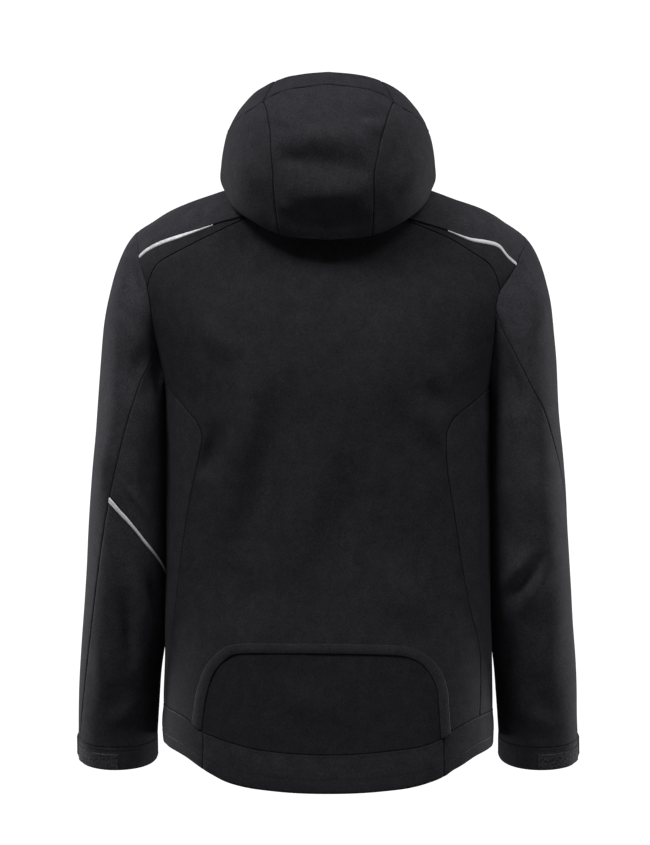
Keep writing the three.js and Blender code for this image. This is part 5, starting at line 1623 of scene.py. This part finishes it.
class JACKET_OT_stitching(bpy.types.Operator):
    """Sew every row of topstitching that the pieces asked for"""

    bl_idname = "jacket.stitching"
    bl_label = "Topstitching"

    def execute(self, context):
        if not STITCH_ROWS:
            raise RuntimeError("the pieces come before their stitching")
        length = sizes().stitch_length * 1000
        centres, axes = [], []
        for line, up in STITCH_ROWS:
            run = run_of(line)
            at = np.arange(length, run[-1] - length, length + STITCH_GAP)
            if len(at) < 2:
                continue
            centre, high = read_at(at, run, line), read_at(at, run, up)
            ahead = unit(read_at(at + 0.5, run, line) - centre)
            high = unit(high - ahead * (high * ahead).sum(-1, keepdims=True))
            centres.append(centre + high * STITCH_LIFT)
            axes.append(np.stack([np.cross(ahead, high), high, ahead], 1))
        half = (*STITCH_HALF, length / 2)
        piece = blocks_object("topstitching", np.vstack(centres), np.vstack(axes), half)
        dress(piece, None, finish("sewing_thread"))
        return {"FINISHED"}


# Stage
def lamp(name, light, location, turn):
    """A light in the scene, at a place and with its turn."""
    lamp_object = bpy.data.objects.new(name, light)
    lamp_object.location, lamp_object.rotation_euler = location, turn
    bpy.context.scene.collection.objects.link(lamp_object)
    return lamp_object


def area_light(name, location, aim, size, power):
    """A soft rectangular light at a place, aimed at another by the angles of the line between them."""
    light = bpy.data.lights.new(name, "AREA")
    light.shape = "RECTANGLE"
    light.size, light.size_y = size
    light.energy = power
    away = unit(np.array(location) - np.array(aim))
    return lamp(name, light, location, (float(np.arccos(away[2])), 0.0, float(np.arctan2(away[0], -away[1]))))


def overhead_sun(name, lean, spread, strength):
    """A wide soft sun, leaning towards the camera's side."""
    light = bpy.data.lights.new(name, "SUN")
    light.angle = float(np.radians(spread))
    light.energy = strength
    return lamp(name, light, (0.0, -1.0, 3.0), (float(np.radians(lean)), 0.0, 0.0))


def white_surround(ambient, seen):
    """A white world: bright where the camera sees it, dimmer where it lights the jacket."""
    world = bpy.data.worlds.new("white_surround")
    world.use_nodes = True
    nodes, links = world.node_tree.nodes, world.node_tree.links
    backdrop = nodes["Background"]
    backdrop.inputs["Color"].default_value = (*WHITE, 1.0)
    backdrop.inputs["Strength"].default_value = seen
    fill = nodes.new("ShaderNodeBackground")
    fill.inputs["Color"].default_value = (0.97, 0.98, 1.0, 1.0)
    fill.inputs["Strength"].default_value = ambient
    path = nodes.new("ShaderNodeLightPath")
    blend = nodes.new("ShaderNodeMixShader")
    links.new(path.outputs["Is Camera Ray"], blend.inputs["Fac"])
    links.new(fill.outputs["Background"], blend.inputs[1])
    links.new(backdrop.outputs["Background"], blend.inputs[2])
    links.new(blend.outputs["Shader"], nodes["World Output"].inputs["Surface"])
    return world


# The floor's height, where the lights aim, and the sizes of boxes, fills and strips, in metres
FLOOR_HEIGHT = -1.4
AIM = (0.0, 0.0, -0.35)
LOW_AIM = (0.0, 0.0, -0.6)
BOX, FILL, STRIP = (0.8, 0.8), (0.5, 0.5), (0.4, 1.3)


class JACKET_OT_stage(bpy.types.Operator):
    """Set the pale floor, the white surround, the soft lights and the camera"""

    bl_idname = "jacket.stage"
    bl_label = "Stage"

    def execute(self, context):
        scene = context.scene
        turn = np.linspace(0, 2 * np.pi, 97)[:-1]
        reach = np.array([0.02, 0.8, 1.8, 3.0])[:, None]
        disc = np.stack([reach * np.cos(turn), reach * np.sin(turn), np.full((4, 96), FLOOR_HEIGHT)], -1) / MM
        floor = shell("studio_floor", disc, disc - np.array([0.0, 0.0, 20.0]), closed=True)
        material, nodes, links, shader, at = shader_material("pale_floor", 0.7)
        grain = noise_of(nodes, links, at, 3.0)
        tone = ramp_of(nodes, links, grain, scaled(WHITE, 0.9), scaled(WHITE, 0.94))
        links.new(tone, shader.inputs["Base Color"])
        floor.data.materials.append(material)
        floor.visible_diffuse = False
        floor.visible_glossy = False
        scene.world = white_surround(0.12, 1.12)
        overhead_sun("overhead_sun", 12.0, 70.0, 1.6)
        area_light("left_softbox", (-1.4, -1.5, 2.1), AIM, BOX, 57.0)
        area_light("right_softbox", (1.4, -1.5, 2.1), AIM, BOX, 23.0)
        area_light("left_low_fill", (-1.5, -1.1, -1.1), LOW_AIM, FILL, 2.0)
        area_light("right_low_fill", (1.5, -1.1, -1.1), LOW_AIM, FILL, 4.5)
        area_light("left_strip", (-1.8, 0.75, -0.6), AIM, STRIP, 34.0)
        area_light("right_strip", (1.8, 0.75, -0.6), AIM, STRIP, 34.0)
        scene.view_settings.view_transform = "Standard"
        lens = bpy.data.cameras.new("camera_behind")
        lens.sensor_width = 36.0
        lens.lens = LENS
        camera = bpy.data.objects.new("camera_behind", lens)
        camera.location = (EYE[0] * MM, -EYE_DISTANCE * MM, EYE[1] * MM)
        camera.rotation_euler = (np.pi / 2, 0.0, 0.0)
        scene.collection.objects.link(camera)
        scene.camera = camera
        return {"FINISHED"}


def length_setting(name, description, default):
    """A length in the sidebar."""
    return bpy.props.FloatProperty(name=name, description=description, default=default, unit="LENGTH")


class JACKET_PG_sizes(bpy.types.PropertyGroup):
    """Sizes that can be changed before the jacket is sewn"""

    cloth_thickness: length_setting("Cloth thickness", "Thickness of the bonded cloth", 0.0018)
    band_thickness: length_setting("Band thickness", "Thickness of hem and cuffs, of doubled cloth", 0.0028)
    piping_width: length_setting("Piping width", "Width of the reflective piping", 0.005)
    stitch_length: length_setting("Stitch length", "Length of one topstitch", 0.0026)
    grid_step: length_setting("Grid step", "Distance between the points of a panel", 0.0042)


def colour_setting(name, description, default):
    """A colour in the sidebar."""
    return bpy.props.FloatVectorProperty(
        name=name, description=description, subtype="COLOR", size=3, min=0.0, max=1.0, default=default)


class JACKET_PG_colours(bpy.types.PropertyGroup):
    """Colours that can be changed before the jacket is sewn"""

    shell: colour_setting("Shell", "Back and fronts", (0.0214, 0.0211, 0.0238))
    sleeve: colour_setting("Sleeves", "Sleeves, cuffs and yokes", (0.0322, 0.0315, 0.0367))
    hood: colour_setting("Hood", "Hood", (0.0263, 0.0258, 0.0300))
    # Painted light: the side panels' colour is lighter than the shell's, making up for the shade the sleeves
    # cast on them
    side: colour_setting("Sides", "Side panels", (0.0262, 0.0260, 0.0293))
    inset: colour_setting("Inset", "Lower back inset", (0.0150, 0.0149, 0.0167))
    welt: colour_setting("Welt", "Welt round the inset", (0.0226, 0.0223, 0.0250))
    reflective: colour_setting("Reflective", "Piping at shoulders and elbow", (0.62, 0.615, 0.64))
    pile: colour_setting("Loop strip", "Loop strips on the cuffs", (0.042, 0.040, 0.047))
    tape: colour_setting("Zip tape", "Tapes of the zip", (0.0080, 0.0080, 0.0086))
    chain: colour_setting("Zip teeth", "Teeth of the zip", (0.012, 0.012, 0.013))
    metal: colour_setting("Metal", "Slider and pull", (0.10, 0.10, 0.11))
    thread: colour_setting("Thread", "Topstitching", (0.010, 0.010, 0.012))


STEPS = (
    JACKET_OT_back, JACKET_OT_shoulders, JACKET_OT_sides, JACKET_OT_fronts, JACKET_OT_hem, JACKET_OT_sleeves,
    JACKET_OT_cuffs, JACKET_OT_hood, JACKET_OT_zip, JACKET_OT_stitching, JACKET_OT_stage,
)


class JACKET_PT_sidebar(bpy.types.Panel):
    """The jacket's settings and its making, step by step"""

    bl_idname = "JACKET_PT_sidebar"
    bl_label = "Softshell jacket"
    bl_space_type = "VIEW_3D"
    bl_region_type = "UI"
    bl_category = "Jacket"

    def draw(self, context):
        for group in (sizes(), colours()):
            box = self.layout.box()
            for name in group.__annotations__:
                box.prop(group, name)
        for step in STEPS:
            self.layout.operator(step.bl_idname)


CLASSES = (JACKET_PG_sizes, JACKET_PG_colours, *STEPS, JACKET_PT_sidebar)


def register():
    """Adds the classes and the two groups of settings."""
    for kind in CLASSES:
        bpy.utils.register_class(kind)
    bpy.types.Scene.jacket_sizes = bpy.props.PointerProperty(type=JACKET_PG_sizes)
    bpy.types.Scene.jacket_colours = bpy.props.PointerProperty(type=JACKET_PG_colours)


def unregister():
    """Takes the settings and classes away again."""
    del bpy.types.Scene.jacket_colours
    del bpy.types.Scene.jacket_sizes
    for kind in reversed(CLASSES):
        bpy.utils.unregister_class(kind)


def main():
    """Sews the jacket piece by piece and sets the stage."""
    register()
    for step in STEPS:
        group, name = step.bl_idname.split(".")
        getattr(getattr(bpy.ops, group), name)()


if __name__ == "__main__":
    main()
